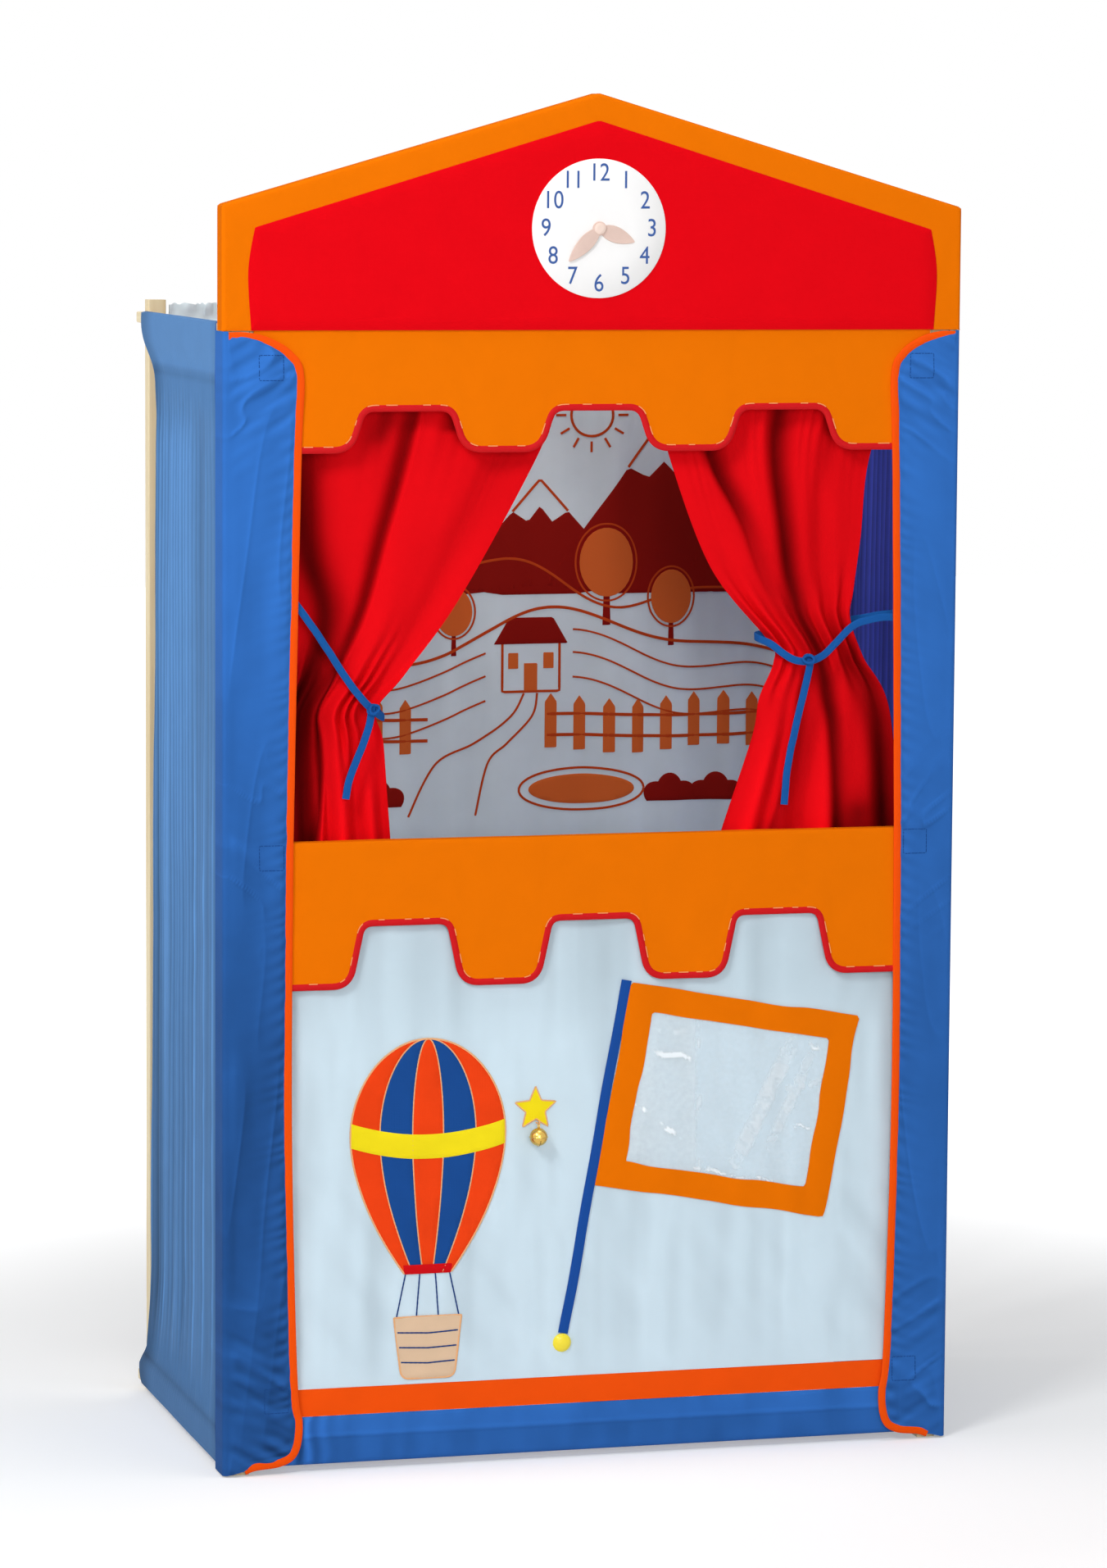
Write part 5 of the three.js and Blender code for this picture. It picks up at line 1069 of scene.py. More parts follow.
# The stitched square over a patch of hook tape, just inside the binding, laid on the band.
def patchStitches(side, height, edge, grid):
    heights = [height - patchHalf, height, height + patchHalf]
    reach = np.abs(np.interp(np.negative(heights), -edge[:, 1], edge[:, 0])).max()
    middle = side * (reach + 5 + patchHalf)
    steps = [(-1, 0), (-1, 1), (1, 1), (1, -1), (-1, -1), (-1, 0)]
    corners = [(middle + a * stitchHalf, height + b * stitchHalf) for a, b in steps]
    square = evenly(roundedLine(corners, 1.5, 3), 120)
    near = grid[(np.abs(grid[..., 2] - height) < 30) & (grid[..., 1] < 0)]
    away = np.linalg.norm(square[:, None] - near[None, :, [0, 2]], axis=2)
    y = near[away.argmin(1), 1] - 0.62
    return stitchShells(pointsOf(square[:, 0], y, square[:, 1]), 0.8, 2.6, 0.35, 97)


for hand, spec in bandSpecs.items():
    grid, dark, edge = bandSurface(**spec)
    node, bindingNode = "front_band_" + hand, "band_binding_" + hand
    cloth = [clothShell(grid, 1.1)]
    band = makePiece(node + "_cloth", cloth, blueCotton, [node], dark=dark)
    line = pointsOf(edge[:, 0], bandY, edge[:, 1])
    line[:, 1] += 0.25 * noise(lengths(line), 0, 18, 95 + spec["side"])
    strip = [sweepShell(evenly(line, 500), roundSection(4.25, 1.6, 14, 2.6), (0, 1, 0))]
    binding = makePiece(bindingNode + "_strip", strip, bindingCotton, [bindingNode])
    shells = []
    for height in patchHeights:
        shells += patchStitches(spec["side"], height, edge, grid)
    stitches = makePiece("band_stitches_" + hand, shells, darkThread)
print("bands made")

# Side cloths: one cloth round the upper rail, down in fine pleats and round the lower rail. The paths
# give the place out from the middle, or back to the rear edge, against the height.
sideCloth = {
    "wall": 0.9, "start": 31.4, "limit": 405.5, "topSeam": 1150, "footSeam": 46,
    "path": [
        (399.7, 1148), (390.6, 1180), (390.6, 1209.4), (400.4, 1209.4), (400.4, 1153), (399.3, 1100),
        (399.3, 110), (400.4, 45), (400.4, 7.6), (390.6, 7.6), (390.6, 30), (399.5, 47),
    ],
    "rear": [(43.5, 404), (155, 374), (543, 359), (932, 352), (1153.5, 344.2)],
    "topRear": [(1149, 345), (1184, 423), (1210, 423)],
    "footRear": [(7, 436.5), (31.7, 449.5), (45, 428.5)],
    "innerRear": 428.3,
}
sideLine = evenly(roundedLine(sideCloth["path"], 2.2, 5), 240)


# The rear edge for each height, with the sleeves' own edges above and below, evened out a little.
def sideRearEdge(z, outside):
    sheet, top, foot = (
        np.interp(z, *np.array(sideCloth[part]).T) for part in ("rear", "topRear", "footRear")
    )
    rear = np.where(z > 1149, top, np.where(z < 45, foot, sheet))
    rear = np.where(outside, rear, np.minimum(rear, sideCloth["innerRear"]))
    return np.convolve(np.pad(rear, 2, "edge"), np.ones(5) / 5, "valid")


# Pleats: fine and close towards the rear, soft and wide towards the front, dying out at the seams.
# Outwards come the pleats, broad hills with sharp streaks below, puckers at both seams and faint hills.
def sideGrid(side, seed):
    start, topSeam, footSeam = (sideCloth[part] for part in ("start", "topSeam", "footSeam"))
    run = lengths(sideLine)
    outside = (run > run[np.argmax(sideLine[:, 1] > 1209)] + 8) & (run < run[-1] - 48)
    x, z = sideLine[:, :1], sideLine[:, 1:]
    rear = sideRearEdge(z[:, 0], outside)[:, None]
    outside = outside[:, None]
    u = np.linspace(0, 1, 270)[None, :]
    y = start + (rear - start) * u
    strength = smooth(topSeam, 1060, z) * smooth(48, 140, z) * outside
    phase = 19 * u**1.1 + 0.3 * noise(u * 400, z, 40, seed, 14.0)
    fine = np.cos(turn * phase) * (0.2 + 0.8 * smooth(0.25, 0.55, u)) * smooth(0, 0.03, u)
    fine = fine * (0.35 + 0.65 * smooth(300, 850, z)) * smooth(1.0, 0.985, u)
    low = smooth(900, 600, z)
    spread = 6.5 * (1 - u) ** 1.2 + 0.12 * noise(z, 0, 240, seed + 9)
    streaks = low * np.exp(-8 * np.abs(np.sin(math.pi * spread)))
    broad = 1.4 * noise(u * 400, z, 34, seed + 1, 16.0) + 0.8 * noise(u * 400, z, 15, seed + 2, 20.0)
    broad = broad + 1.6 * streaks * smooth(0, 0.06, u)
    pucker = 0.5 * (hump(z, topSeam - 15, 30) + hump(z, footSeam + 20, 26))
    pucker = pucker * np.sin(turn * (44 * u + 0.4 * noise(u * 400, 0, 20, seed + 3)))
    calm = 0.3 * noise(y, z, 60, seed + 4)
    x = np.minimum(x + strength * (2.3 * fine + broad - 0.8) + outside * (pucker + calm), sideCloth["limit"])
    # Painted shade and light: darker in pleat valleys, streaks, at both edges, towards the foot and at the
    # seams; the top sleeve is painted lighter as a highlight.
    dark = strength * (-0.36 * fine - 0.09 * broad - 0.46 * streaks) + 0.14 * smooth(0.08, 0, u) + 0.02
    dark = dark + 0.34 * smooth(0.82, 0.98, u) + 0.12 * smooth(800, 150, z) - 0.2 * smooth(1140, 1160, z)
    dark = dark + 0.25 * hump(z, topSeam, 5) + 0.2 * hump(z, footSeam, 5)
    grid = pointsOf(side * x, y, z)
    return (grid[:, ::-1], dark[:, ::-1]) if side < 0 else (grid, dark)


sides = {}
for side, hand, seed in ((-1, "left", 101), (1, "right", 111)):
    grid, dark = sideGrid(side, seed)
    node = "side_cloth_" + hand
    cloth = [clothShell(grid, sideCloth["wall"])]
    sides[hand] = makePiece(node + "_cloth", cloth, sideCottonPaintedLighter, [node], dark=dark)
    # The shell's first half of points is its inner face.
    paint(sides[hand], "lining", np.repeat([1.0, 0.0], len(sides[hand].data.vertices) // 2))
print("sides made")

# Backdrop: gathered on its rod, a frill above it, long soft folds below
backSheet = {"half": 366.2, "wall": 0.7, "foot": 560, "rodY": 440, "rodZ": 1193, "wrapRadius": 7.1}
backdropFront = backSheet["rodY"] - 0.9 - backSheet["wall"] / 2
frillPath = [
    (439.2, 1204), (438.9, 1211), (439.2, 1217), (440, 1218.2), (440.8, 1217), (441.1, 1211), (440.8, 1204),
]


# The share of the backdrop's width that lies to the left of a place.
def shareAcross(x):
    return (x + backSheet["half"]) / (2 * backSheet["half"])


# The heading's gathers, as a wave across the cloth.
def gathersAt(x):
    return np.sin(turn * (34 * shareAcross(x) + 0.6 * noise(x, 0, 25, 124)))


# How far back the cloth lies: wide folds that hang free, small ones that drift, and the heading's
# gathers fading out below the rod.
def backdropLean(x, z):
    x, z = np.asarray(x, float), np.asarray(z, float)
    u = shareAcross(x)
    folds = 2.0 * np.sin(turn * 5 * u + 0.8) + 1.2 * np.sin(turn * 11 * u + 0.5 * np.sin(z / 120))
    drift = x + 10 * noise(x * 0, z, 200, 121)
    small = 1.0 * noise(drift, z, 22, 122, 9.0) + 0.3 * noise(drift, z, 11, 123, 12.0)
    heading = 2.2 * np.exp(-np.abs(z - 1185) / 45) * gathersAt(x)
    return smooth(1183, 1120, z) * (folds + small) + heading * smooth(1188, 1178, z)


# The cloth's section goes up the front, in front of the rod, over the frill and down behind the rod.
wrap = math.pi * np.linspace(-0.42, 0.42, 12)
sheetRows = np.linspace(backSheet["foot"], 1178, 120)
wrapBack = backSheet["wrapRadius"] * np.cos(wrap)
wrapZ = backSheet["rodZ"] + backSheet["wrapRadius"] * np.sin(wrap)
section = np.vstack(
    [
        np.stack([np.full(120, backSheet["rodY"] - 0.9), sheetRows], 1),
        np.stack([backSheet["rodY"] - wrapBack, wrapZ], 1),
        frillPath,
        np.stack([backSheet["rodY"] + wrapBack, wrapZ], 1)[::-1],
        [(441, 1182)],
    ]
)
depth, height = section[:, :1], section[:, 1:]
x = np.linspace(-backSheet["half"], backSheet["half"], 290)[None, :]
u = shareAcross(x)
gather, tight = gathersAt(x), np.sin(turn * (61 * u + 0.9 * noise(x, 4, 14, 125)))
frill = smooth(1203, 1212, height)
puff = np.sign(depth - backSheet["rodY"]) * 0.5 * smooth(1176, 1186, height) * (1 - frill) * (1 + gather)
hanging = np.arange(len(section))[:, None] < len(sheetRows)
y = depth + frill * (3.0 * gather + 1.2 * tight) + puff + hanging * backdropLean(x, height)
z = height + smooth(1205, 1215, height) * (1.2 * tight - 1.0)
cloth = [clothShell(pointsOf(x, y, z)[::-1], backSheet["wall"])]
# Painted shade in the hollows of the folds and between the heading's gathers.
hollow = backdropLean(x, z) - backdropLean(x + 8, z)
dark = (0.03 * hollow + 0.08 * gather * smooth(1203, 1210, z))[::-1]
backdrop = makePiece("backdrop_cloth", cloth, printedCotton, ["backdrop"], dark=dark)


# The print lies on the backdrop's front as thin ink ribbons and patches.
def onBackdrop(x, z, lift):
    return pointsOf(x, backdropFront - 0.35 + backdropLean(x, z) - lift, z)


printLines, printFills, printLeaves = [], [], []


# An ink line: points about 4 mm apart, with a flat oval section run along them.
def drawLine(line, width):
    line = np.asarray(line, float)
    line = evenly(line, max(3, int(lengths(line)[-1] / 4)))
    middle = onBackdrop(line[:, 0], line[:, 1], 0.2)
    printLines.append(sweepShell(middle, roundSection(width * 0.7, 0.4, 6), (0, 1, 0)))


# A patch of ink inside an outline; a count of points evens out an outline that is given by its corners.
def drawPatch(patches, outline, spacing=5.0, thick=0.3, count=0):
    outline = closedEvenly(outline, count) if count else outline
    patches.append(sewnShell(outline, onBackdrop, thick, spacing=spacing, rim=0.2))


# A part of an ellipse round a middle, from one angle to another in degrees.
def arc(x, z, halfX, halfZ, start, end, count=24):
    t = np.radians(np.linspace(start, end, count))
    return np.stack([x + halfX * np.cos(t), z + halfZ * np.sin(t)], 1)


acrossPrint = np.linspace(-360, 360, 120)
nearHill = 835 + 30 * np.sin(acrossPrint / 95 + 0.5) + 12 * np.sin(acrossPrint / 41)
farHill = 905 + 26 * np.sin(acrossPrint / 70 + 2.0) + 10 * np.sin(acrossPrint / 29)


# A line of heights over the print, or the part of it that is kept.
def drawRow(heights, width, kept=slice(None)):
    drawLine(np.stack([acrossPrint[kept], heights[kept]], 1), width)


drawRow(nearHill, 2.8)
drawRow(farHill, 2.4)
for drop in (24, 50, 78):
    for kept in (acrossPrint < 2, acrossPrint > 98):
        drawRow(nearHill - drop - 5 * np.sin(acrossPrint / 30), 1.8, kept)

# Mountains with open tops stand behind the hills: the middle, half width and height of each.
mountains = [(-235, 120, 150), (-95, 150, 205), (60, 110, 120), (205, 140, 190), (290, 66, 110)]
mountainFoot, snowShare = 900, 0.3
for middle, half, tall in mountains:
    top, snow = mountainFoot + tall, half * snowShare
    low = top - tall * snowShare
    zig = [(snow, low), (half * 0.13, low - 12), (0, low + 6), (-half * 0.13, low - 12), (-snow, low)]
    base = mountainFoot - 10
    foot = [(-half, mountainFoot), (-half * 0.4, base), (half * 0.4, base), (half, mountainFoot)]
    drawPatch(printFills, [(middle + a, b) for a, b in foot + zig], 4.5, count=90)
    drawLine([(middle - snow, low), (middle, top), (middle + snow, low)], 2.4)

# The sun with its rays, and clouds with flat feet
sunX, sunZ = 120, 1092
drawLine(arc(sunX, sunZ, 24, 24, 0, 360, 40), 2.4)
for degrees in range(0, 360, 30):
    c, s = math.cos(math.radians(degrees)), math.sin(math.radians(degrees))
    drawLine([(sunX + reach * c, sunZ + reach * s) for reach in (30, 42)], 2.2)
for cloudX, cloudZ in ((25, 1075), (210, 1120), (-190, 1080)):
    left = arc(cloudX - 26, cloudZ, 16, 13, 190, 70)
    top = arc(cloudX, cloudZ + 9, 20, 17, 150, 30)
    right = arc(cloudX + 27, cloudZ, 17, 13, 110, -10)
    drawLine(np.vstack([left, top, right]), 2.0)
    drawLine([(cloudX - 42, cloudZ - 3), (cloudX + 44, cloudZ - 3)], 2.0)

# Round trees on the near hill
for treeX, size in ((-150, 1.1), (-40, 0.8), (138, 1.15), (215, 0.9), (-270, 1.0)):
    foot = float(np.interp(treeX, acrossPrint, nearHill)) - 6
    trunk = [(-4, 0), (-3, 34), (3, 34), (4, 0)]
    drawPatch(printFills, [(treeX + a * size, foot + b * size) for a, b in trunk], 6, count=30)
    crownZ = foot + 62 * size
    drawPatch(printLeaves, arc(treeX, crownZ, 27 * size, 34 * size, 0, 350, 30), 4.5, 1.1)
    drawLine(arc(treeX, crownZ, 31 * size, 38 * size, 0, 360, 40), 1.8)

# The fence stands on both sides of the path.
for number in range(-9, 10):
    postX, foot = number * 34 + 6, 712 + 4 * math.sin(number)
    if -70 < postX < 60:
        continue
    post = [(-7, 0), (-7, 52), (0, 62), (7, 52), (7, 0)]
    drawPatch(printLeaves, [(postX + a, foot + b) for a, b in post], 6, 0.45, 50)
for rail in (728, 752):
    for kept in (acrossPrint < -66, acrossPrint > 64):
        drawRow(rail + 2 * np.sin(acrossPrint / 50), 3.0, kept)

# The house, the pond before it, bushes and the path down from the door
drawPatch(printFills, [(6, 834), (24, 864), (76, 864), (94, 834)], count=60)
drawLine([(16, 834), (16, 780), (84, 780), (84, 834)], 2.4)
for left, right, low, high in ((42, 58, 780, 812), (23, 35, 806, 824), (65, 77, 806, 824)):
    drawPatch(printLeaves, [(left, low), (left, high), (right, high), (right, low)], 6, 0.45, 40)
drawPatch(printLeaves, arc(110, 668, 62, 17, 0, 354, 60))
drawLine(arc(110, 668, 74, 24, 0, 360, 60), 2.2)
for bushX in (-190, -128, 215, 270):
    t = np.linspace(0, math.pi, 34)
    bulge = 0.8 + 0.2 * np.abs(np.sin(3 * t))
    bush = np.stack([bushX + 34 * np.cos(t) * bulge, 652 + 32 * np.sin(t) * bulge], 1)
    foot = np.linspace(bush[-1], bush[0], 10)[1:-1]
    foot[:, 1] = 652
    drawPatch(printFills, np.vstack([bush, foot]))
for bank in (
    [(42, 778), (26, 752), (-16, 722), (-60, 700), (-92, 640)],
    [(58, 778), (52, 752), (22, 722), (0, 700), (-14, 640)],
):
    drawLine(splineThrough(bank, 60), 2.0)
printed = [
    makePiece("backdrop_print_lines", printLines, printLine),
    makePiece("backdrop_print_fills", printFills, printFill),
    makePiece("backdrop_print_leaves", printLeaves, printLeaf),
]
print("backdrop made")

# Pocket, staff and knob, drawn round the pocket's middle and turned clockwise
pocketX, pocketZ, pocketTurn = 153, 379, math.radians(10)
pocket = {
    "borderHalf": (130, 110), "openingHalf": (101.5, 81.5), "filmHalf": (107, 87),
    "staffTop": 111.5, "staffFoot": -272.5, "staffX": -135.8, "knobZ": -282.8,
}
# The knob's profile: radius against the depth behind the panel's plane
knobProfile = [
    (0.001, -5), (3, -4.9), (6, -4.3), (8.2, -3.2), (9.2, -2.2), (9.6, -1.8), (10, -1.4), (10, -0.4),
    (9.6, 0), (0.001, 0),
]
# Painted glints: from, to (along and up the pocket), half width and strength
glints = [
    ((-88, 40), (-52, 39), 2.6, 1.0), ((-104, -17), (-77, -31), 1.6, 0.9), ((-77, -31), (-42, -48), 2.4, 1.0),
    ((-30, -77), (20, -79), 1.6, 0.7), ((20, -79), (78, -80), 1.4, 0.6), ((80, 72), (90, 68), 1.8, 0.8),
    ((78, -17), (98, -16), 1.0, 0.6), ((20, -64), (58, 70), 9, 0.32), ((54, -43), (82, 59), 6, 0.28),
    ((-48, 80), (-20, -74), 1.2, 0.45), ((-96, 62), (-58, 66), 3, 0.3), ((60, 20), (98, 34), 3, 0.3),
]


# From along and up the pocket to places on the front: turned, then moved to its middle.
def fromPocket(points):
    a, b = np.asarray(points, float).T
    c, s = math.cos(pocketTurn), math.sin(pocketTurn)
    return np.stack([pocketX + a * c + b * s, pocketZ + b * c - a * s], 1)


# The way back, from places on the front to along and up the pocket.
def toPocket(x, z):
    a, b = x - pocketX, z - pocketZ
    c, s = math.cos(pocketTurn), math.sin(pocketTurn)
    return a * c - b * s, b * c + a * s


# A rectangle with small round corners, its sides swayed by random hills.
def wavyRectangle(half, seed, sway):
    steps = [(-1, -1), (1, -1), (1, 1), (-1, 1), (-1, -1)]
    line = evenly(roundedLine(np.array(steps) * half, 3, 4), 200)[:-1]
    run = np.arange(len(line)) * 4.0
    return fromPocket(line + np.stack([noise(run, 0, 34, seed), noise(run, 9, 34, seed + 1)], 1) * sway)


# Places on the panel that are lifted by a base besides.
def onPocket(base):
    return lambda x, z, lift: onPanel(x, z, lift + base)


# The border is a ring: an outer and an inner outline joined by rows of points, highest in the middle.
outer, inner = wavyRectangle(pocket["borderHalf"], 131, 1.6), wavyRectangle(pocket["openingHalf"], 133, 1.3)
share = np.linspace(0, 1, 8)[:, None, None]
ring = outer * (1 - share) + inner * share
ring = np.concatenate([ring, ring[:, :1]], 1)
lift = 0.95 + 0.5 * np.sin(np.linspace(0.25, math.pi - 0.25, 8))[:, None]
cloth = [clothShell(onPanel(ring[..., 0], ring[..., 1], lift), 0.8)]
border = makePiece("pocket_border_cloth", cloth, orangeCotton, ["pocket_border"])


# The film stands off inside the opening, in soft random hills, and is flat under the border.
def onFilm(x, z, lift):
    a, b = toPocket(x, z)
    inside = smooth(105, 88, np.abs(a)) * smooth(85, 70, np.abs(b))
    hills = 1.4 + 0.9 * noise(x, z, 38, 136, 1.6) + 0.35 * noise(x, z, 15, 137)
    return onPanel(x, z, lift + 0.25 + inside * hills)


# Painted highlights: white where a point is near a glint, broken up by random hills, on a faint haze that is
# painted lighter over the left part as a reflection.
def milkAt(x, z):
    a, b = toPocket(x, z)
    hazeAndGlint = 0.1 + 0.14 * smooth(-34, -40, a + 0.19 * b)
    broken = smooth(-0.35, 0.25, noise(a, b, 7, 141) + 0.5 * noise(a, b, 3.1, 142))
    for (startA, startB), (endA, endB), half, strength in glints:
        wide, tall = endA - startA, endB - startB
        t = np.clip(((a - startA) * wide + (b - startB) * tall) / (wide**2 + tall**2), 0, 1)
        bend = 1.5 * np.sin(7 * t + startA) * min(1, 3 / half)
        away = np.hypot(a - startA - t * wide, b - startB - t * tall + bend)
        patchy = broken if half < 4 else 0.6 + 0.4 * broken
        ends = 0.4 + 0.6 * np.sin(math.pi * (0.1 + 0.8 * t))
        hazeAndGlint = np.maximum(hazeAndGlint, 1.4 * strength * (1 - smooth(half * 0.6, half * 1.4, away)) * patchy * ends)
    return hazeAndGlint


film = [sewnShell(wavyRectangle(pocket["filmHalf"], 135, 0.5), onFilm, 0.3, spacing=2.4, rim=0.3)]
window = makePiece("pocket_window_film", film, clearFilm, ["pocket_window"])
paint(window, "hazeAndGlint", milkAt(film[0][0][:, 0], film[0][0][:, 2]))

height = np.linspace(pocket["staffTop"], pocket["staffFoot"], 90)
sway = 0.9 * noise(height, 0, 70, 138) * smooth(pocket["staffTop"], pocket["staffTop"] - 40, height)
line = fromPocket(np.stack([pocket["staffX"] + sway, height], 1))
strip = [sweepShell(onPanel(line[:, 0], line[:, 1], 1.2), roundSection(5.5, 0.8, 14, 3.5), (0, 1, 0))]
staff = makePiece("flag_staff_tape", strip, staffCotton, ["flag_staff"])

knobX, knobZ = fromPocket([(pocket["staffX"], pocket["knobZ"])])[0]
button = turnedShell((knobX, knobZ), roundedLine(knobProfile, 0.3, 3), 48)
button[0][:, 1] += panelFront - 0.2 + panelBelly(knobX, knobZ)
makePiece("staff_knob_button", [button], knobYellow, ["staff_knob"])
print("pocket made")

# Sewn-on figures: a striped balloon, its basket and a star, each with a raised satin edge
balloon = {
    "x": -178, "z": 345, "half": 84, "up": 112, "down": 138, "mouthHalf": 26,
    "belt": (24, -2), "beltBow": 14, "seams": (-0.62, -0.2, 0.2, 0.62),
}
star = {"x": -61, "z": 378, "reach": 24, "notch": 11}
balloonX, balloonZ = balloon["x"], balloon["z"]
mouthZ = balloonZ - balloon["down"]


# A cubic curve from a to d that leaves towards b and arrives from c.
def bezier(a, b, c, d, count=24):
    t = np.linspace(0, 1, count)[:, None]
    a, b, c, d = (np.asarray(p, float) for p in (a, b, c, d))
    return a * (1 - t) ** 3 + b * 3 * t * (1 - t) ** 2 + c * 3 * t**2 * (1 - t) + d * t**3


# Half of the balloon's outline from its top to its mouth, as half widths against height.
def balloonSide():
    half, top, mouth = balloon["half"], balloonZ + balloon["up"], balloon["mouthHalf"]
    widest = (half, balloonZ + half * 0.12)
    upper = bezier((0, top), (half * 0.58, top), (half, balloonZ + half * 0.72), widest)
    lower = bezier(widest, (half, balloonZ - half * 0.72), (mouth, mouthZ), (mouth, mouthZ))
    return evenly(np.vstack([upper, lower[1:]]), 70)


side = balloonSide()


# The balloon's line of longitude at a share of its half width.
def seamLine(share):
    return np.stack([balloonX + share * side[:, 0], side[:, 1]], 1)


# A felt shape sewn on the panel.
def figureShell(outline, spacing, base=0.3, wall=0.8, rim=0.5):
    return sewnShell(outline, onPocket(base), wall, spacing=spacing, rim=rim)


seams = [-1.0, *balloon["seams"], 1.0]
gores = [np.vstack([seamLine(a)[::-1], seamLine(b)[1:]]) for a, b in zip(seams[:-1], seams[1:])]
for name, material, outlines, nodes in (
    ("balloon_gores_1", feltRed, gores[::2], ["applique_balloon"]),
    ("balloon_gores_2", feltNavy, gores[1::2], []),
):
    makePiece(name, [figureShell(outline, 7) for outline in outlines], material, nodes)

# A yellow belt round the balloon and a crimson rim at its mouth
bow = np.linspace(-1, 1, 40)
beltEdges = []
for height in balloon["belt"]:
    half = np.interp(-balloonZ - height, -side[:, 1], side[:, 0])
    drop = balloon["beltBow"] * (1 - bow**2)
    beltEdges.append(np.stack([balloonX + half * bow, balloonZ + height - drop], 1))
belt = figureShell(np.vstack([beltEdges[0], beltEdges[1][::-1]]), 6, 1.15, 0.5, 0.4)
makePiece("balloon_belt", [belt], feltYellow)
rim = [(balloonX + a, mouthZ + b) for a, b in ((-27, 9), (-25.5, -1), (25.5, -1), (27, 9), (-27, 9))]
mouth = figureShell(roundedLine(rim, 2, 3)[:-1], 5, 1.15, 0.5, 0.4)
makePiece("balloon_mouth", [mouth], feltCrimson)

basket = {"top": 160, "foot": 94, "topHalf": 37, "footHalf": 29}
basketSide = [(basket["footHalf"], basket["foot"]), (basket["topHalf"], basket["top"])]
basketCorners = [(-x, z) for x, z in basketSide[::-1]] + basketSide
basketLine = roundedLine(basketCorners, 9, 6) + [balloonX, 0]
makePiece("basket_felt", [figureShell(basketLine, 6)], feltBeige, ["applique_basket"])

angle = np.arange(10) * math.pi / 5
reach = np.where(np.arange(10) % 2, star["notch"], star["reach"])
starPoints = np.stack([star["x"] + reach * np.sin(angle), star["z"] + reach * np.cos(angle)], 1)
starEdge = closedEvenly(starPoints, 91)
makePiece("star_felt", [figureShell(starEdge, 4, rim=0.4)], feltYellow, ["applique_star"])


# A raised cord of close stitches along a line on the panel.
def satinShell(line, width, lift, closed=False):
    line = np.asarray(line, float)
    if closed:
        line = np.vstack([line, line[:2]])
    line = evenly(line, max(8, int(lengths(line)[-1] / 2.5)))
    ribs = 1 + 0.08 * np.cos(np.arange(len(line)) * math.pi)
    section = roundSection(width / 2, 0.55, 8)[None] * ribs[:, None, None]
    return sweepShell(onPanel(line[:, 0], line[:, 1], lift), section, (0, 1, 0))


balloonEdge = np.vstack([seamLine(-1)[::-1], seamLine(1)[1:]])
satin = [satinShell(edge, 2.0, 0.9, True) for edge in (balloonEdge, basketLine)]
satin.append(satinShell(starEdge, 1.6, 0.9, True))
satin += [satinShell(seamLine(share), 1.4, 1.1) for share in balloon["seams"]]
makePiece("figure_edges", satin, beigeThread)

# Ropes from the mouth to the basket, and the basket's woven rows
ropes = []
for share in (-1, -0.35, 0.35, 1):
    rope = [(balloonX + share * 24, mouthZ), (balloonX + share * 34, basket["top"] + 1)]
    ropes.append(satinShell(rope, 1.5, 0.6))
for height in (112, 128, 144):
    flare = (basket["topHalf"] - basket["footHalf"]) / (basket["top"] - basket["foot"])
    half = basket["footHalf"] + (height - basket["foot"]) * flare - 2
    row = [(balloonX - half, height), (balloonX, height - 2), (balloonX + half, height)]
    ropes.append(satinShell(row, 1.6, 1.2))
makePiece("balloon_ropes", ropes, navyThread)
print("figures made")

# Bell: a ball with a belt and crossed slots below, and a wire ring
bell = {"place": (-61, -13.1, 350), "radius": 9.5, "wall": 0.7, "belt": 0.7, "slotHalf": 0.85, "ring": 3.1}


# A ball whose radius swells at the belt. Near the slots its points are drawn to their edges, and the
# faces between them are left out.
def bellShell():
    radius, slotHalf = bell["radius"], bell["slotHalf"]
    across = np.linspace(0, turn, 97)[:-1]
    upper, belt, lower = np.linspace(0.02, 1.5, 22), np.linspace(1.52, 1.62, 7), np.linspace(1.64, 3.1, 26)
    tall = np.concatenate([upper, belt, lower])
    swollen = (radius + bell["belt"] * hump(tall, math.pi / 2, 0.045))[:, None]
    tall = tall[:, None]
    ball = pointsOf(np.sin(tall) * np.cos(across), np.sin(tall) * np.sin(across), np.cos(tall))
    points = swollen[..., None] * ball
    low = points[..., 2] < -radius * 0.35
    for axis in (0, 1):
        off = np.abs(points[..., axis])
        near = low & (off < slotHalf + 0.4) & (off > slotHalf - 0.5)
        points[..., axis] = np.where(near, np.sign(points[..., axis]) * slotHalf, points[..., axis])
    index, quads = ringFaces(*points.shape[:2])
    flat = points.reshape(-1, 3)
    middle = flat[quads].mean(1)
    cut = (middle[:, 2] < -radius * 0.36) & (np.abs(middle[:, :2]).min(1) < slotHalf - 0.01)
    return flat + bell["place"], quads[~cut].tolist() + [index[0].tolist()], None


brassBell = makePiece("bell_brass", [bellShell()], brass, ["bell"], "bell")
wall = brassBell.modifiers.new("wall", "SOLIDIFY")
wall.thickness = bell["wall"] * millimetre
wall.offset = -1
bellX, bellY, bellZ = bell["place"]
angle = np.linspace(0, turn, 40)
ringZ = bellZ + bell["radius"] + bell["ring"] - 0.35
ringLine = pointsOf(bellX, bellY + bell["ring"] * np.cos(angle), ringZ + bell["ring"] * np.sin(angle))
wire = [sweepShell(ringLine, roundSection(0.7, 0.7, 10), (1, 0, 0))]
makePiece("bell_ring", wire, brass, [], "bell")
print("bell made")

# Some pieces kept under names: the top valance, the lintel rail's node and the pocket's border, film and
# staff
valance, trimmings = valances["top_valance"]
rail = ["lintel_rail"]
trimmings = [border, window, staff]

# Each curtain, its tie, the tie's tail and its knot get a mesh of their own.
for hand, spec in curtains.items():
    tie = "tie_" + hand
    for piece in (curtainPieces[hand], tapes[tie], tapes[tie + "_tail"], knots[tie]):
        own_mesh(piece)

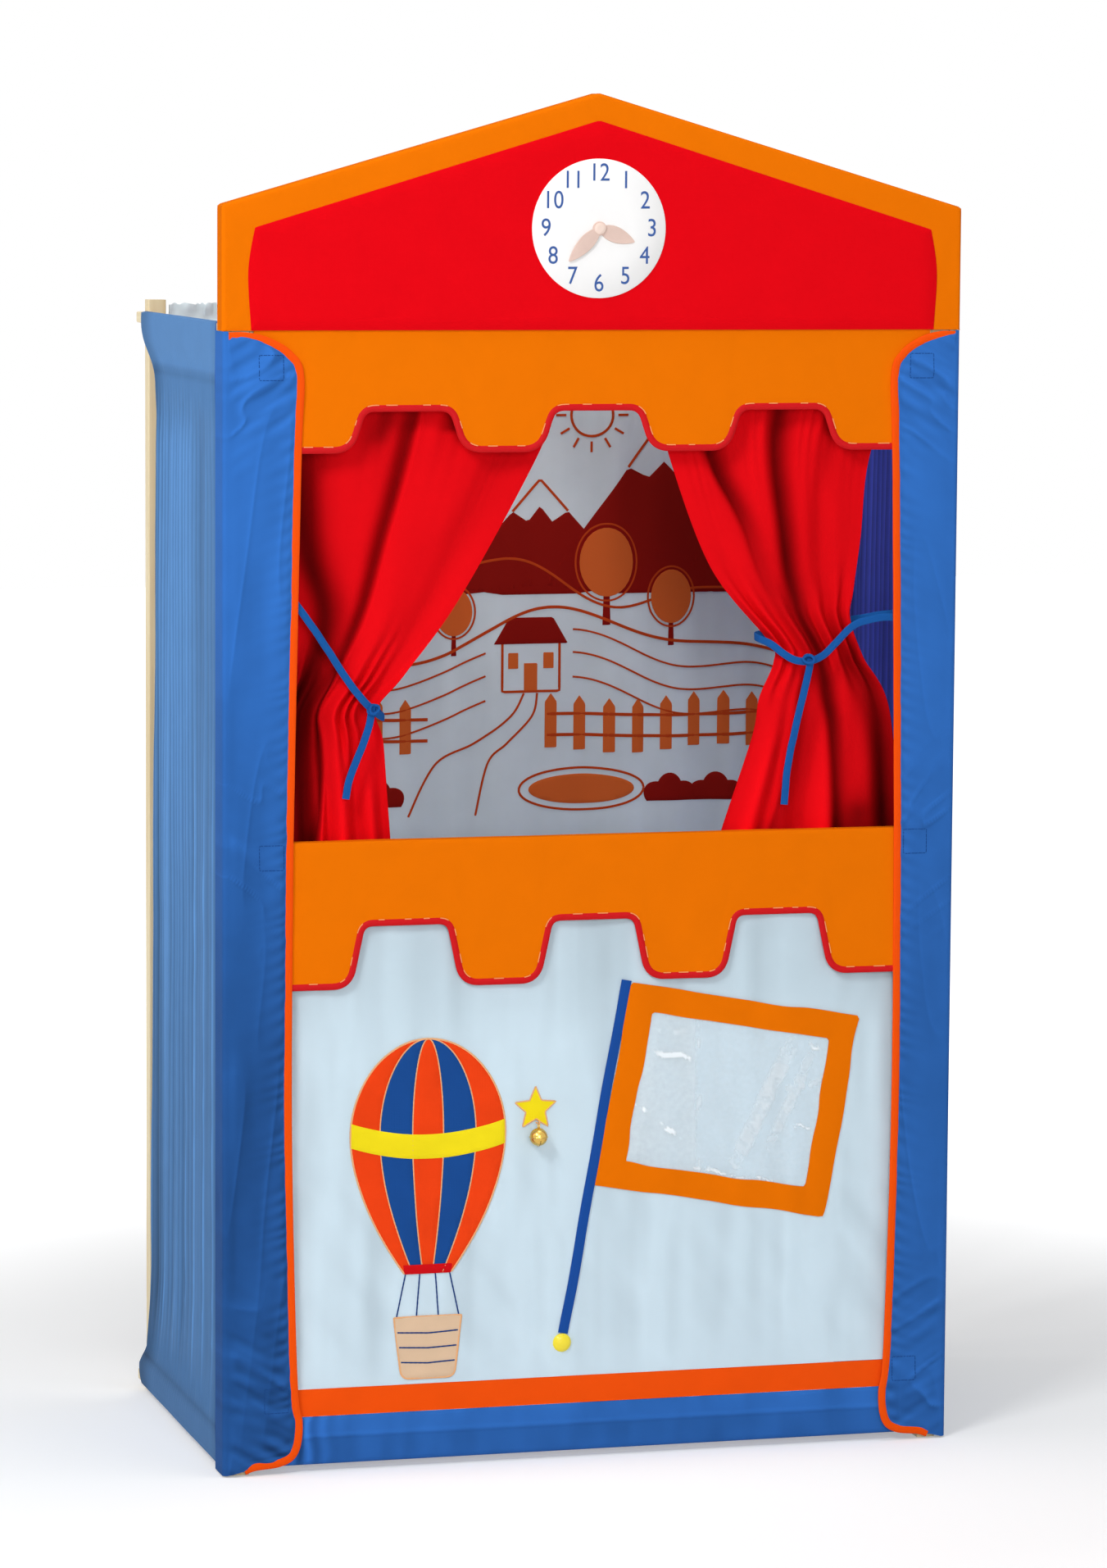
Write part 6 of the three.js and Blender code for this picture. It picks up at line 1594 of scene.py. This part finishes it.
# Finishes of the CAD pieces that stay
bothSides = ("left", "right")
railNames = ["lintel_rail", "sill_rail", "front_rail_bottom", "curtain_rod", "backdrop_rod"]
finishes = {
    pineUp: [end + "_post_" + hand for end in ("front", "rear") for hand in bothSides],
    pineDeep: ["side_rail_" + at + "_" + hand for at in ("top", "bottom") for hand in bothSides],
    pineAcross: ["gable_rafter_left", "gable_rafter_right", *railNames],
    hookNylon: ["hook_patch_" + hand + "_" + at for hand in bothSides for at in ("top", "middle", "bottom")],
    rivetPlastic: ["clock_rivet"],
    steel: ["bell_pellet"],
    beigeThread: ["bell_thread"],
}
for material, names in finishes.items():
    for name in names:
        node = bpy.data.objects[name]
        node.data.materials.clear()
        node.data.materials.append(material)
print("finishes set")


# Stage: a pale floor that runs out into white, soft lights and a white surround. Only the camera and
# mirror-like finishes see the white.


# The larger of two nodes' outputs.
def largerOf(tree, first, firstOutput, second, secondOutput):
    either = addNode(tree, "Math", operation="MAXIMUM")
    link(first, firstOutput, either, 0)
    link(second, secondOutput, either, 1)
    return either


bpy.ops.mesh.primitive_plane_add(size=24, location=(0, 0, -0.0005))
floor = bpy.context.object
floor.name = "floor"
floorMore = {"Specular IOR Level": 0, "Emission Color": (1, 1, 1, 1)}
floorMaterial, tree, shader = newMaterial("floor white", (0.82, 0.82, 0.82), 0.9, floorMore)
place = addNode(tree, "TexCoord")
reach = addNode(tree, "VectorMath", operation="LENGTH")
link(place, "Object", reach, 0)
edges = {"From Min": 0.75, "From Max": 2.0, "To Min": 0.28}
fade = addNode(tree, "MapRange", edges, interpolation_type="SMOOTHSTEP")
link(reach, "Value", fade, "Value")
ray = addNode(tree, "LightPath")
seen = largerOf(tree, ray, "Is Camera Ray", ray, "Is Glossy Ray")
glow = addNode(tree, "Math", operation="MULTIPLY")
link(seen, "Value", glow, 0)
link(fade, "Result", glow, 1)
link(glow, "Value", shader, "Emission Strength")
floor.data.materials.append(floorMaterial)

surround = bpy.data.worlds.new("surround")
bpy.context.scene.world = surround
surround.use_nodes = True
tree = surround.node_tree
tree.nodes.clear()
output = addNode(tree, "OutputWorld")
soft = addNode(tree, "Background", {"Color": (0.97, 0.98, 1.0, 1), "Strength": 0.30})
white = addNode(tree, "Background", {"Color": (1, 1, 1, 1), "Strength": 1.0})
ray = addNode(tree, "LightPath")
seen = largerOf(tree, ray, "Is Camera Ray", ray, "Is Glossy Ray")
seen = largerOf(tree, seen, "Value", ray, "Is Transmission Ray")
mix = addNode(tree, "MixShader")
link(seen, "Value", mix, "Fac")
link(soft, "Background", mix, 1)
link(white, "Background", mix, 2)
link(mix, "Shader", output, "Surface")

# Lights: place, point aimed at, size and power in watts
lights = {
    "key": ((-2.3, -2.6, 3.1), (0.0, 0, 0.75), 1.1, 66),
    "front": ((-0.6, -4.8, 1.7), (0, 0, 0.8), 1.4, 67),
    "side": ((-3.2, 0.2, 1.9), (-0.4, 0, 0.7), 1.2, 22),
    "top": ((0.3, -0.5, 3.6), (0, 0.2, 0.9), 1.2, 20),
}
for name, (place, aim, size, power) in lights.items():
    data = bpy.data.lights.new(name, "AREA")
    data.size = size
    data.energy = power
    lamp = bpy.data.objects.new(name, data)
    lamp.location = place
    lamp.rotation_euler = (Vector(aim) - Vector(place)).to_track_quat("-Z", "Y").to_euler()
    bpy.context.scene.collection.objects.link(lamp)
bpy.context.scene.view_settings.view_transform = "Standard"
print("stage set")
